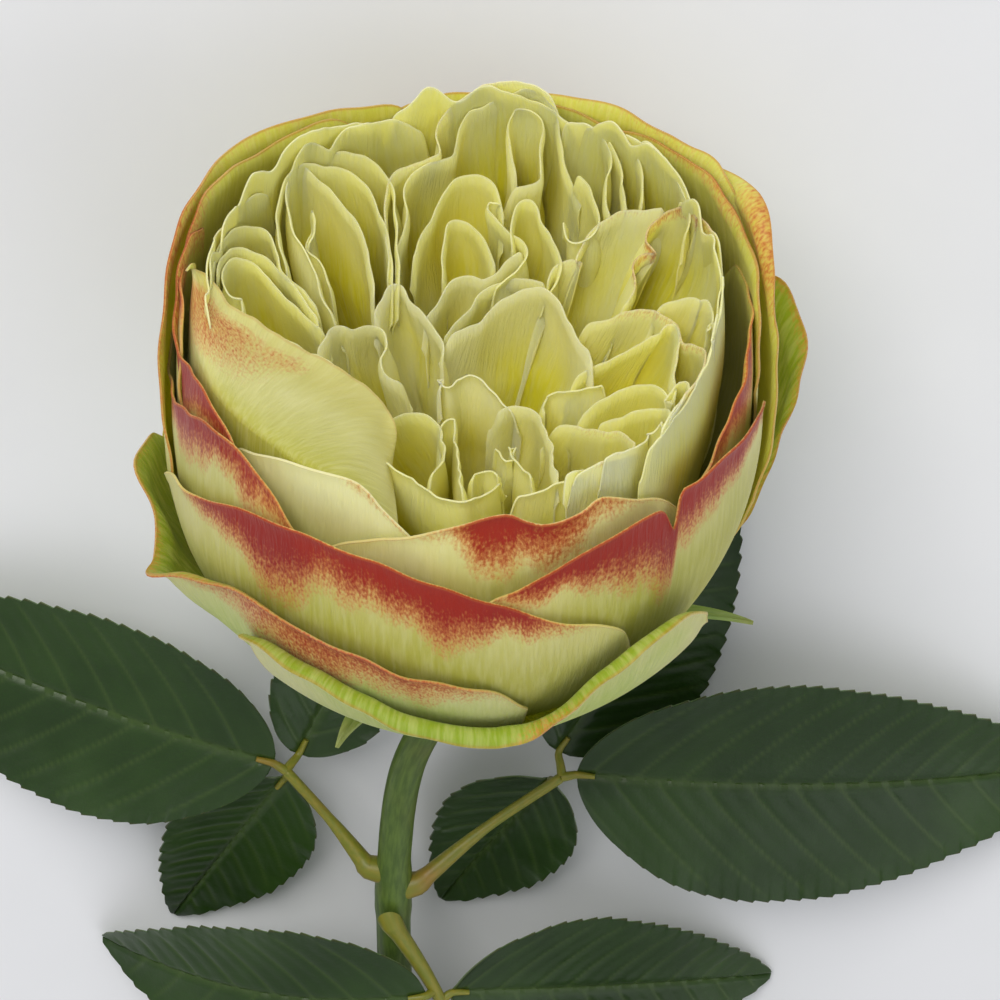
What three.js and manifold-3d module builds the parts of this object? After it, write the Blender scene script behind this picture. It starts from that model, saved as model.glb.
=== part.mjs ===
// A cut garden rose lying on its side: a globular, many-petalled bloom on a leafy stem.
// Millimetres, +Z up. The bloom faces -Y, the cut end of the stem points to +Y, and the rose rests
// on z = 0. The bloom is modelled in its own frame, with its origin at the middle of the globe and
// +Z along the bloom's axis, and is then laid down.
import * as THREE from "three";
import { mergeVertices } from "three/addons/utils/BufferGeometryUtils.js";
import Module from "manifold-3d";

const { degToRad, clamp, lerp, smoothstep } = THREE.MathUtils;

// ---- Bloom ----
const GLOBE_RADIUS = 46; // outermost petals, at the widest height
const GLOBE_FOOT = 39; // from the widest height down to where the outermost petals attach
const GLOBE_CROWN = 41; // the same half-height, above the widest height
const FOOT_SQUARENESS = 0.6; // under 1 makes that half fuller than an ellipsoid's
const CROWN_SQUARENESS = 0.18;
const BLOOM_TILT = 20; // degrees that the bloom's axis points above level
const PETAL_THICKNESS = 0.4;
const LAYER_STEP = 1.25; // from one layer of guard petals to the next, at the widest height
const FOOT_STEP = 0.8; // the same, where the petals attach
const TOUCH = 0.3; // clearance between pieces that meet

// ---- Receptacle, sepals and stem ----
const TORUS_RADIUS = 6; // the column inside the bloom that carries the petals
const HIP_RADIUS = 6.4;
const HIP_LENGTH = 12;
const NECK_RADIUS = 2.6; // stem at the hip
const BUTT_RADIUS = 3.3; // stem at its cut end
const STEM_REACH = 240; // along Y, from the hip to the cut end
const STEM_BOW = 13; // how far the stem bows to the side
const SEPAL_HALF_WIDTH = 4.2;
const SEPAL_DROP = 2.2; // a sepal's foot, below the seat of the petals
const SEPAL_THICKNESS = 0.7;

// ---- Leaves ----
const BLADE_THICKNESS = 0.6;
const RACHIS_RADIUS = 1.1;

const AXIS = new THREE.Vector3(0, 0, 1);
const COLOURS = {
  guard: new THREE.Color(0.78, 0.74, 0.42),
  inner: new THREE.Color(0.8, 0.8, 0.5),
  green: new THREE.Color(0.36, 0.46, 0.14),
  leaf: new THREE.Color(0.06, 0.14, 0.06),
  stem: new THREE.Color(0.2, 0.3, 0.1),
};

/** One named node. */
function node(name, geometry, colour, roughness) {
  const material = new THREE.MeshStandardMaterial({ color: colour, roughness, metalness: 0 });
  const mesh = new THREE.Mesh(geometry, material);
  mesh.name = name;
  return mesh;
}

/** Moves every vertex of a geometry to where place(x, y, z) puts it, and merges the seams. */
function bend(geometry, place) {
  const shape = geometry.clone();
  shape.deleteAttribute("normal");
  shape.deleteAttribute("uv");
  const position = shape.getAttribute("position");
  for (let i = 0; i < position.count; i++) {
    const to = place(position.getX(i), position.getY(i), position.getZ(i));
    position.setXYZ(i, to.x, to.y, to.z);
  }
  return mergeVertices(shape, 1e-3);
}

/**
 * A thin sheet with even thickness around the surface at(s, t), where s runs from -1 to 1 across it
 * and t from 0 to 1 along it.
 */
function sheet(at, across, along, thickness) {
  const STEP = 1e-3;
  return bend(new THREE.BoxGeometry(2, 1, thickness, across, along, 1), (x, y, z) => {
    const t = y + 0.5;
    const middle = at(x, t);
    const side = at(x + STEP, t).sub(at(x - STEP, t));
    const up = at(x, t + STEP).sub(at(x, t - STEP));
    return middle.addScaledVector(side.cross(up).normalize(), z);
  });
}

/** A tapering round bar along a curve. radiusAt(u) gives its radius at each share of the length. */
function bar(curve, radiusAt, sides, steps) {
  const frames = curve.computeFrenetFrames(steps, false);
  return bend(new THREE.CylinderGeometry(1, 1, 1, sides, steps), (x, y, z) => {
    const u = 0.5 - y;
    const i = Math.round(u * steps);
    const radius = radiusAt(u);
    return curve
      .getPointAt(u)
      .addScaledVector(frames.normals[i], x * radius)
      .addScaledVector(frames.binormals[i], z * radius);
  });
}

// ---- The bloom's globe ----

/** A point on the globe, drawn in by `inset` at the widest height and by `lift` at the foot. */
function onGlobe(azimuth, latitude, inset, lift, scale = 1) {
  const squareness = latitude < 0 ? FOOT_SQUARENESS : CROWN_SQUARENESS;
  const radius = (GLOBE_RADIUS - inset) * Math.cos(latitude) ** squareness * scale;
  const half = latitude < 0 ? GLOBE_FOOT - lift : GLOBE_CROWN;
  const turn = azimuth + degToRad(3) * Math.sin(2 * azimuth + 1.1 * latitude);
  return new THREE.Vector3(radius * Math.cos(turn), radius * Math.sin(turn), half * Math.sin(latitude));
}

/** The latitude at which a petal of that inset leaves the receptacle's column. */
function footLatitude(inset, footRadius) {
  return -Math.acos((footRadius / (GLOBE_RADIUS - inset)) ** (1 / FOOT_SQUARENESS));
}

/**
 * A guard petal: a broad shell on the globe. Angles are in degrees; layer 0 is the outermost.
 * drop is how far the margin falls to each side, and flare how far it turns out, in millimetres.
 */
function guardPetal({ azimuth, half, top, layer, drop = 26, lean = 0, flare = 0, incurve = 0 }) {
  const inset = layer * LAYER_STEP;
  const lift = layer * FOOT_STEP;
  const foot = footLatitude(inset, TORUS_RADIUS + TOUCH);
  const at = (s, t) => {
    const margin = degToRad(top - drop * Math.abs(s) ** 1.6 + lean * s);
    const latitude = lerp(foot, margin, t);
    const width = lerp(0.72, 1, Math.min(1, t * 1.6));
    const point = onGlobe(degToRad(azimuth + half * s * width), latitude, inset, lift);
    const out = new THREE.Vector3(point.x, point.y, 0).normalize();
    point.addScaledVector(out, flare * clamp((t - 0.55) / 0.45, 0, 1.1) ** 2);
    const inward = incurve * (1 - 0.7 * s * s) * clamp((t - 0.65) / 0.35, 0, 1.1) ** 2;
    return point.addScaledVector(out, -inward);
  };
  return sheet(at, 9, 8, PETAL_THICKNESS);
}

const GUARDS = [
  { azimuth: -84, half: 50, top: -24, layer: 0, drop: 18, flare: 6 },
  { azimuth: 150, half: 50, top: -2, layer: 0, drop: 20, flare: 4 },
  { azimuth: 12, half: 44, top: 6, layer: 0, drop: 26, flare: 6.5 },
  { azimuth: -142, half: 54, top: -2, layer: 1, drop: 10, flare: 3 },
  { azimuth: 84, half: 52, top: 8, layer: 1, drop: 22 },
  { azimuth: -113, half: 56, top: 26, layer: 2 },
  { azimuth: 14, half: 46, top: 33, layer: 2 },
  { azimuth: 112, half: 48, top: 36, layer: 2 },
  { azimuth: -50, half: 50, top: 28, layer: 3, drop: 18 },
  { azimuth: 62, half: 48, top: 37, layer: 3 },
  { azimuth: -176, half: 50, top: 38, layer: 3 },
  { azimuth: -142, half: 42, top: 37, layer: 4 },
  { azimuth: -20, half: 42, top: 37, layer: 4, drop: 16 },
  { azimuth: 85, half: 50, top: 40, layer: 4 },
  { azimuth: -78, half: 42, top: 36, layer: 5, drop: 14 },
  { azimuth: 38, half: 44, top: 39, layer: 5 },
  { azimuth: 150, half: 45, top: 40, layer: 5 },
  { azimuth: -118, half: 38, top: 40, layer: 6, drop: 16 },
  { azimuth: -150, half: 36, top: 45, layer: 7, drop: 12, incurve: 11 },
];

// ---- The quarters: nests of petals folded like a U that opens towards the bloom's middle ----
const NEST_INSET = 3; // from one petal of a nest to the next, at the widest height
const NEST_FOOT_STEP = 0.9;
const GUARD_LAYERS = 8;
const LARGEST_NEST = 4;
const HEART_SHARE = 0.32; // how near to the axis the side walls reach, as a share of the radius
const APEX_SHARE = 0.55; // share of a petal's width that goes round the outer bend

// azimuth and half-width in degrees; top and dip are latitudes of the outer margin and how far the
// margin falls towards the bloom's middle; inset draws the whole nest in, in millimetres.
const QUARTERS = [
  { azimuth: 133, half: 16, nest: 3, top: 38, dip: 26 },
  { azimuth: 163, half: 10, nest: 2, top: 34, dip: 22 },
  { azimuth: 88, half: 26, nest: 4, top: 40, dip: 26 },
  { azimuth: 46, half: 13, nest: 2, top: 38, dip: 22 },
  { azimuth: 8, half: 22, nest: 3, top: 36, dip: 24 },
  { azimuth: -36, half: 19, nest: 3, top: 33, dip: 22 },
  { azimuth: -86, half: 27, nest: 2, top: 18, dip: 12, inset: 4 },
  { azimuth: -148, half: 31, nest: 1, top: 8, dip: 10, inset: 5 },
];

function quarterPetal({ azimuth, half, nest, top, dip, inset = 0 }, rank) {
  const depth = (GUARD_LAYERS - 0.4) * LAYER_STEP + inset + rank * NEST_INSET;
  const lift = (GUARD_LAYERS - 0.4) * FOOT_STEP + rank * NEST_FOOT_STEP;
  const width = half * (1 - rank / (nest + 0.7));
  const foot = footLatitude(depth, TORUS_RADIUS + TOUCH);
  const at = (s, t) => {
    const reach = Math.abs(s);
    const turn = Math.sign(s) * Math.sin((Math.min(1, reach / APEX_SHARE) * Math.PI) / 2);
    const fold = smoothstep(reach, 0.3 * APEX_SHARE, 1) ** 1.3;
    const share = lerp(1, HEART_SHARE, fold * smoothstep(t, 0, 0.6));
    const margin = degToRad(top - rank * 1.5 - dip * fold);
    return onGlobe(degToRad(azimuth + width * turn), lerp(foot, margin, t), depth, lift, share);
  };
  return sheet(at, 12, 6, PETAL_THICKNESS);
}

// ---- Receptacle and sepals ----

/** Hip, calyx rim and the column that the petals grow from, as one lathed body. */
function receptacle() {
  const seat = -GLOBE_FOOT;
  const columnTop = seat + GUARD_LAYERS * FOOT_STEP + LARGEST_NEST * NEST_FOOT_STEP;
  const outline = new THREE.Path();
  outline.moveTo(0, seat - HIP_LENGTH);
  outline.lineTo(NECK_RADIUS, seat - HIP_LENGTH);
  outline.bezierCurveTo(
    NECK_RADIUS + 1, seat - HIP_LENGTH + 2,
    HIP_RADIUS, seat - HIP_LENGTH + 3,
    HIP_RADIUS, seat - HIP_LENGTH / 2,
  );
  outline.lineTo(TORUS_RADIUS, seat - 1.5);
  outline.lineTo(TORUS_RADIUS, columnTop);
  outline.quadraticCurveTo(TORUS_RADIUS * 0.8, columnTop + 2.5, 0, columnTop + 2.5);
  const lathe = new THREE.LatheGeometry(outline.getPoints(5), 18);
  return bend(lathe, (x, y, z) => new THREE.Vector3(x, -z, y));
}

/** A sepal spreads under the globe to `reach` from the axis, and its tip hooks by `hook`. */
function sepal({ azimuth, reach, hook }) {
  const seat = -GLOBE_FOOT - SEPAL_DROP;
  const spine = new THREE.CubicBezierCurve3(
    new THREE.Vector3(HIP_RADIUS + TOUCH, 0, seat),
    new THREE.Vector3(reach * 0.45, 0, seat - 2),
    new THREE.Vector3(reach * 0.85, 0, seat + 3),
    new THREE.Vector3(reach, 0, seat + 3 - hook),
  );
  const at = (s, t) => {
    const u = clamp(t, 0, 1);
    const width = SEPAL_HALF_WIDTH * (1 - u) ** 0.8 * (0.75 + u) + 0.25;
    return spine
      .getPoint(u)
      .addScaledVector(spine.getTangent(u), t - u)
      .add(new THREE.Vector3(0, s * width, -0.06 * (s * width) ** 2))
      .applyAxisAngle(AXIS, degToRad(azimuth));
  };
  return sheet(at, 2, 7, SEPAL_THICKNESS);
}

const SEPALS = [
  { azimuth: -126, reach: 33, hook: 5 },
  { azimuth: -64, reach: 27, hook: 3 },
  { azimuth: -6, reach: 38, hook: 1 },
  { azimuth: 76, reach: 28, hook: 0 },
  { azimuth: 158, reach: 34, hook: 4 },
];

// ---- Assembly of the bloom, then its laying down ----
const rose = new THREE.Group();
const bloom = new THREE.Group();
rose.add(bloom);

GUARDS.forEach((guard, i) => {
  bloom.add(node(`guard_petal_${i + 1}`, guardPetal(guard), COLOURS.guard, 0.55));
});
QUARTERS.forEach((quarter, i) => {
  for (let rank = 0; rank < quarter.nest; rank++) {
    const name = `quarter_${i + 1}_petal_${rank + 1}`;
    bloom.add(node(name, quarterPetal(quarter, rank), COLOURS.inner, 0.55));
  }
});
bloom.add(node("receptacle", receptacle(), COLOURS.green, 0.5));
SEPALS.forEach((shape, i) => bloom.add(node(`sepal_${i + 1}`, sepal(shape), COLOURS.green, 0.6)));

const GLOBE_HEIGHT = GLOBE_RADIUS; // the globe's middle, above the surface it lies on
bloom.rotation.set(degToRad(90 - BLOOM_TILT), 0, Math.PI);
bloom.position.set(0, 0, GLOBE_HEIGHT);
bloom.updateMatrix();

// ---- Stem ----
const neck = AXIS.clone()
  .multiplyScalar(-(GLOBE_FOOT + HIP_LENGTH + TOUCH))
  .applyMatrix4(bloom.matrix);
const down = AXIS.clone().negate().transformDirection(bloom.matrix);
const butt = new THREE.Vector3(4, neck.y + STEM_REACH, BUTT_RADIUS + 0.1);
// Between the neck and the cut end: shares of the bow, of the reach and of the drop.
const STEM_BENDS = [
  [0.48, 0.073, 0.22], [0.78, 0.117, 0.33], [0.96, 0.19, 0.45], [1, 0.317, 0.62],
  [0.93, 0.44, 0.75], [0.75, 0.606, 0.87],
];
const bends = STEM_BENDS.map(
  ([bow, reach, drop]) =>
    new THREE.Vector3(bow * STEM_BOW, neck.y + reach * STEM_REACH, lerp(neck.z, butt.z, drop)),
);
const afterNeck = neck.clone().addScaledVector(down, HIP_LENGTH / 2);
const stemCurve = new THREE.CatmullRomCurve3([neck, afterNeck, ...bends, butt]);
const STEM_SIDES = 10;
const STEM_STEPS = 34;
const stemRadius = (u) => lerp(NECK_RADIUS, BUTT_RADIUS, Math.min(1, u * 1.6));
const wasm = await Module();
wasm.setup();

/** A geometry as a manifold-3d solid, and back. */
function toSolid(geometry) {
  const merged = mergeVertices(geometry, 1e-3);
  return new wasm.Manifold(
    new wasm.Mesh({
      numProp: 3,
      vertProperties: new Float32Array(merged.getAttribute("position").array),
      triVerts: new Uint32Array(merged.index.array),
    }),
  );
}
function toGeometry(solid) {
  const mesh = solid.getMesh();
  return new THREE.BufferGeometry()
    .setAttribute("position", new THREE.BufferAttribute(mesh.vertProperties, mesh.numProp))
    .setIndex(new THREE.BufferAttribute(mesh.triVerts, 1));
}

/** A prickle: a hooked cone that leans back down the stem. around is in degrees from straight up. */
const PRICKLE_LENGTH = 6;
function prickle(share, around) {
  const foot = stemCurve.getPointAt(share);
  const along = stemCurve.getTangentAt(share);
  const out = AXIS.clone().applyAxisAngle(along, degToRad(around));
  out.addScaledVector(along, -out.dot(along)).normalize();
  const radius = stemRadius(share);
  const hook = new THREE.QuadraticBezierCurve3(
    foot.clone().addScaledVector(out, radius * 0.6),
    foot.clone().addScaledVector(out, radius + PRICKLE_LENGTH * 0.55),
    foot.clone().addScaledVector(out, radius + PRICKLE_LENGTH * 0.8).addScaledVector(along, 3),
  );
  return bar(hook, (u) => 0.15 + 1.35 * (1 - u) ** 1.4, 6, 4);
}
const PRICKLES = [
  [0.16, 70], [0.42, -75], [0.47, 40], [0.56, 95], [0.63, -50], [0.72, 60], [0.8, -85], [0.88, 20],
];
const shaft = toSolid(bar(stemCurve, stemRadius, STEM_SIDES, STEM_STEPS));
const stemSolid = PRICKLES.reduce(
  (solid, [share, around]) => solid.add(toSolid(prickle(share, around))),
  shaft,
);
rose.add(node("stem", toGeometry(stemSolid), COLOURS.stem, 0.5));

// ---- Leaves ----
const FLOOR_CLEARANCE = BLADE_THICKNESS / 2;

/** The outline of a leaflet: its half-width share at t along the midrib. */
const outlineShare = (t) => Math.max(0, Math.sin(Math.PI * t ** 0.8)) ** 0.75 * (1 - 0.25 * t) + 0.02;

/**
 * A leaflet from `base` to `tip`, both in the rose's own frame. lift raises the middle of its
 * midrib, width is its full width, fold raises its sides and roll turns it about the midrib.
 */
function leaflet({ base, tip, width, lift = 4, fold = 0.16, roll = 0 }) {
  const middle = base.clone().lerp(tip, 0.5).addScaledVector(AXIS, lift);
  const midrib = new THREE.QuadraticBezierCurve3(base, middle, tip);
  const at = (s, t) => {
    const u = clamp(t, 0, 1);
    const point = midrib.getPoint(u).addScaledVector(midrib.getTangent(u), (t - u) * 10);
    const along = midrib.getTangent(u);
    const side = along.clone().cross(AXIS).normalize().applyAxisAngle(along, degToRad(roll));
    const normal = side.clone().cross(along);
    const reach = (width / 2) * outlineShare(u);
    point.addScaledVector(side, s * reach).addScaledVector(normal, fold * s * s * reach);
    point.z = Math.max(point.z, FLOOR_CLEARANCE);
    return point;
  };
  return sheet(at, 4, 8, BLADE_THICKNESS);
}

/** A leaf's stalk, along a curve from the stem to the foot of its end leaflet. */
function rachis(curve) {
  return bar(curve, (u) => lerp(RACHIS_RADIUS * 1.5, RACHIS_RADIUS * 0.8, Math.min(1, 2 * u)), 6, 8);
}

/**
 * A compound leaf. share is where it grows, as a share of the stem's length, and toward the way it
 * leaves the stem. The stalk's points are offsets from its start. A leaflet stands at share `on` of
 * the stalk, `away` from its side, and its tip is [dx, dy] from the stalk's start and a height above
 * the surface.
 */
function leaf(name, { share, toward, stalk, leaflets }) {
  const direction = new THREE.Vector3(...toward).normalize();
  const start = stemCurve
    .getPointAt(share)
    .addScaledVector(direction, stemRadius(share) + RACHIS_RADIUS * 1.2 + TOUCH);
  const points = stalk.map((offset) => new THREE.Vector3(...offset).add(start));
  const curve = new THREE.CatmullRomCurve3([start, ...points]);
  rose.add(node(`${name}_stalk`, rachis(curve), COLOURS.green, 0.5));
  leaflets.forEach(({ on, away, tip: [dx, dy, height], ...blade }, i) => {
    const gap = new THREE.Vector3(...away);
    const base = curve.getPointAt(on).add(gap).addScaledVector(gap.normalize(), RACHIS_RADIUS);
    const tip = new THREE.Vector3(start.x + dx, start.y + dy, height);
    const shape = leaflet({ ...blade, base, tip });
    rose.add(node(`${name}_leaflet_${i + 1}`, shape, COLOURS.leaf, 0.4));
  });
}

leaf("left_leaf", {
  share: 0.225,
  toward: [3.6, -1, 0],
  stalk: [[5.5, -6.8, -2.4], [13.5, -15.8, -4.9]],
  leaflets: [
    { on: 1, away: [1.1, -0.9, 0.2], tip: [88, -42, 0.4], width: 40, lift: 9 },
    { on: 1, away: [-1.4, -1.1, -1.7], tip: [-6, -52, 5], width: 24, lift: 1, roll: 8 },
    { on: 0.96, away: [0.7, 2.1, -2.5], tip: [35, 22, 1], width: 27, lift: -1, roll: -6 },
  ],
});
leaf("right_leaf", {
  share: 0.24,
  toward: [-4.2, -1.4, 0.3],
  stalk: [[-11, -8.6, -3.2], [-24, -17.6, -5.2]],
  leaflets: [
    { on: 1, away: [-1.4, -0.3, 0.1], tip: [-114, -12.6, 0.4], width: 46, lift: 11 },
    { on: 1, away: [0.4, -2.2, -2.2], tip: [-52, -64.6, 2], width: 32, lift: -1, roll: 6 },
    { on: 0.93, away: [0.1, 0.7, -1.9], tip: [-3.5, 14, 3], width: 26, lift: -2 },
  ],
});
leaf("lower_leaf", {
  share: 0.255,
  toward: [0.1, 0, 1],
  stalk: [[-5.5, 10, 0.1], [-12.5, 26, -0.9], [-18.5, 40, -4.9]],
  leaflets: [
    { on: 1, away: [-0.4, 1.4, 0], tip: [-28, 107, 1], width: 36, lift: 6 },
    { on: 0.36, away: [0.9, -0.1, 1.1], tip: [51.5, 18, 1], width: 34, lift: 16 },
    { on: 0.41, away: [-1, -0.5, -0.4], tip: [-66.5, 26, 1], width: 36, lift: 2 },
    { on: 0.79, away: [-0.1, 0.4, 1], tip: [39.5, 64, 1], width: 32, lift: 15 },
    { on: 0.84, away: [-1.7, -0.4, 0.8], tip: [-74.5, 62, 4], width: 28, lift: 13 },
  ],
});

// The part's origin is the middle of its outline, on the surface it lies on.
rose.updateMatrixWorld(true);
const extent = new THREE.Box3().setFromObject(rose, true);
const middle = extent.getCenter(new THREE.Vector3());
rose.children.forEach((child) => child.position.sub(new THREE.Vector3(middle.x, middle.y, extent.min.z)));

export default rose;
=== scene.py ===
"""A cut garden rose lying on its side: a globular, quartered bloom on a prickly, leafy stem.

Lengths are millimetres until a piece is written to Blender, which works in metres. The bloom is
modelled upright in its own frame, with its origin at the middle of the globe and +Z along its
axis, and is then laid down with the same turn as the frame's own pieces.
"""
import logging
import math
from dataclasses import dataclass, field
from enum import Enum
from typing import Callable

import bpy
import numpy as np
from mathutils import Matrix, Vector


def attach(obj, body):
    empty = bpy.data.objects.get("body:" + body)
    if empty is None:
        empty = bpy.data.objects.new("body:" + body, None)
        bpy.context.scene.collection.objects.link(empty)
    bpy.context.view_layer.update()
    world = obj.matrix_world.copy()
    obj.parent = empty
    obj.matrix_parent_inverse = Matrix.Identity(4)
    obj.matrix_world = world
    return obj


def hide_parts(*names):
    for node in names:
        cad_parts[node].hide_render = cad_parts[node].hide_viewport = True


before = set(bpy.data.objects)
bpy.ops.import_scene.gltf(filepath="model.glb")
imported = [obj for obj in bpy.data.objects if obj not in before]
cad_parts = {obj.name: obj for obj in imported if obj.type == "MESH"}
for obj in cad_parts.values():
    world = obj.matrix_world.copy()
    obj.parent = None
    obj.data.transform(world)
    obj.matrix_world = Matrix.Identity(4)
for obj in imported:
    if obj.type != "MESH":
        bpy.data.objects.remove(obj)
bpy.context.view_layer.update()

LOG = logging.getLogger("rose")
Array = np.ndarray
Colour = tuple[float, float, float]
MM = 0.001

# ---- Sizes shared with the frame, in millimetres ----
GLOBE_RADIUS = 46.0
GLOBE_FOOT = 39.0
GLOBE_CROWN = 41.0
FOOT_SQUARENESS = 0.6
CROWN_SQUARENESS = 0.18
BLOOM_TILT = 20.0
LAYER_STEP = 1.25
FOOT_STEP = 0.8
NEST_LAYER = 5.8
NEST_SOFT = 6.0
FOOT_SHARE = 0.72
COLUMN_RADIUS = 6.3
COLUMN_TIP = -26.5
HIP_RADIUS = 6.4
HIP_LENGTH = 12.0
NECK_RADIUS = 2.6
BUTT_RADIUS = 3.3
STEM_REACH = 240.0
STEM_BOW = 13.0
RACHIS_RADIUS = 1.1
TOUCH = 0.3
TABLE_GAP = 0.3
PETAL_THICKNESS = 0.36
INNER_THICKNESS = 0.24
LEAF_THICKNESS = 0.32
SEPAL_THICKNESS = 0.5
CREASE_ANGLE = 60.0
SEPAL_DROP = 2.2


def linear(red: int, green: int, blue: int) -> Colour:
    """The linear colour of an eight-bit screen colour.

    Args:
        red: Its red, from 0 to 255.
        green: Its green, from 0 to 255.
        blue: Its blue, from 0 to 255.

    Returns:
        The colour's linear red, green and blue.
    """
    def channel(value: int) -> float:
        share = value / 255
        return share / 12.92 if share <= 0.04045 else ((share + 0.055) / 1.055) ** 2.4
    return channel(red), channel(green), channel(blue)


def ease(value: Array, low: float, high: float) -> Array:
    """A smooth step from 0 at low to 1 at high."""
    share = np.clip((value - low) / (high - low), 0.0, 1.0)
    return share * share * (3 - 2 * share)


def unit(vectors: Array) -> Array:
    """Vectors of length one, along the last axis."""
    return vectors / np.maximum(np.linalg.norm(vectors, axis=-1, keepdims=True), 1e-9)


def smooth_curve(points: Array, shares: Array) -> Array:
    """Samples a smooth curve through points at shares of its length.

    Args:
        points: The points that the curve goes through, one a row.
        shares: Where to sample it, from 0 at the first point to 1 at the last.

    Returns:
        One sampled point a row.
    """
    ends = np.vstack([2 * points[0] - points[1], points, 2 * points[-1] - points[-2]])
    dense = []
    steps = np.linspace(0, 1, 16, endpoint=False)[:, None]
    for i in range(1, len(ends) - 2):
        before, start, stop, after = ends[i - 1], ends[i], ends[i + 1], ends[i + 2]
        dense.append(
            0.5 * (2 * start + (stop - before) * steps
                   + (2 * before - 5 * start + 4 * stop - after) * steps ** 2
                   + (3 * start - before - 3 * stop + after) * steps ** 3)
        )
    path = np.vstack([*dense, points[-1:]])
    reach = np.concatenate([[0], np.cumsum(np.linalg.norm(np.diff(path, axis=0), axis=1))])
    at = np.clip(shares, 0, 1) * reach[-1]
    return np.stack([np.interp(at, reach, path[:, k]) for k in range(path.shape[1])], axis=-1)


def ripple(seed: int, across: Array, waves: float) -> Array:
    """A gentle, uneven wave from about -1 to 1 along an edge, the same for the same seed.

    Args:
        seed: The number that picks the wave.
        across: Places along the edge, from 0 to 1.
        waves: How many radians the main wave runs through.

    Returns:
        The wave's height at each place.
    """
    rng = np.random.default_rng(seed)
    phase = rng.uniform(0, 2 * math.pi, 3)
    return (0.6 * np.sin(waves * across + phase[0])
            + 0.3 * np.sin(1.9 * waves * across + phase[1])
            + 0.25 * np.sin(3.7 * waves * across + phase[2]))


# ---- The row's frame and the bloom's ----
class Placing:
    """Where the bloom and the stem lie in the row's frame."""

    def __init__(self) -> None:
        """Reads the laid-down bloom's place from the receptacle's column tip."""
        tilt = math.radians(BLOOM_TILT)
        self.across = np.array([-1.0, 0.0, 0.0])
        self.back = np.array([0.0, -math.sin(tilt), -math.cos(tilt)])
        self.axis = np.array([0.0, -math.cos(tilt), math.sin(tilt)])
        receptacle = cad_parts["receptacle"].data
        points = np.zeros(len(receptacle.vertices) * 3)
        receptacle.vertices.foreach_get("co", points)
        points = points.reshape(-1, 3) / MM
        tip = points[np.argmax(points @ self.axis)]
        self.middle = tip - self.axis * COLUMN_TIP
        self.shift = self.middle - np.array([0.0, 0.0, GLOBE_RADIUS])

    def lay(self, points: Array) -> Array:
        """Turns points of the bloom's frame into the row's frame."""
        basis = np.stack([self.across, self.back, self.axis])
        return points @ basis + self.middle


PLACE = Placing()


# ---- Making pieces ----
def mesh_points(piece: bpy.types.Object) -> Array:
    """The vertices of a piece, one a row.

    Args:
        piece: The piece.

    Returns:
        The vertices' places, in metres.
    """
    flat = np.zeros(len(piece.data.vertices) * 3)
    piece.data.vertices.foreach_get("co", flat)
    return flat.reshape(-1, 3)


def move_points(piece: bpy.types.Object, points_mm: Array) -> None:
    """Moves the vertices of a piece to new places, given in millimetres."""
    piece.data.vertices.foreach_set("co", (points_mm * MM).ravel())
    piece.data.update()


def tag(piece: bpy.types.Object, name: str, values: Array) -> None:
    """Writes a value for each vertex, for the piece's finish to read.

    Args:
        piece: The piece.
        name: What the finish calls the value.
        values: One value or vector a vertex.
    """
    vector = values.ndim == 2
    kind, slot = ("FLOAT_VECTOR", "vector") if vector else ("FLOAT", "value")
    attribute = piece.data.attributes.new(name, kind, "POINT")
    attribute.data.foreach_set(slot, values.astype(np.float32).ravel())


def select_only(piece: bpy.types.Object) -> None:
    """Makes a piece the one that the next operator works on.

    Args:
        piece: The piece.
    """
    bpy.ops.object.select_all(action="DESELECT")
    piece.select_set(True)
    bpy.context.view_layer.objects.active = piece


def apply_modifiers(piece: bpy.types.Object) -> None:
    """Applies every modifier of a piece, in order.

    Args:
        piece: The piece.
    """
    select_only(piece)
    for modifier in list(piece.modifiers):
        bpy.ops.object.modifier_apply(modifier=modifier.name)


def face_outward() -> None:
    """Turns every face of the piece being edited outward, and ends the editing."""
    bpy.ops.mesh.select_all(action="SELECT")
    bpy.ops.mesh.normals_make_consistent(inside=False)
    bpy.ops.object.mode_set(mode="OBJECT")


def finish_piece(piece: bpy.types.Object, material: bpy.types.Material,
                 nodes: tuple[str, ...]) -> None:
    """Gives a piece its finish and ties it to the frame.

    Args:
        piece: The finished mesh, in the row's frame.
        material: Its finish.
        nodes: The frame's nodes that the piece stands for.
    """
    select_only(piece)
    bpy.ops.object.shade_smooth_by_angle(angle=math.radians(CREASE_ANGLE))
    piece.data.materials.clear()
    piece.data.materials.append(material)
    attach(piece, "root")
    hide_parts(*nodes)
    LOG.info("%s: %d faces, for %s", piece.name, len(piece.data.polygons), ", ".join(nodes))


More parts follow.
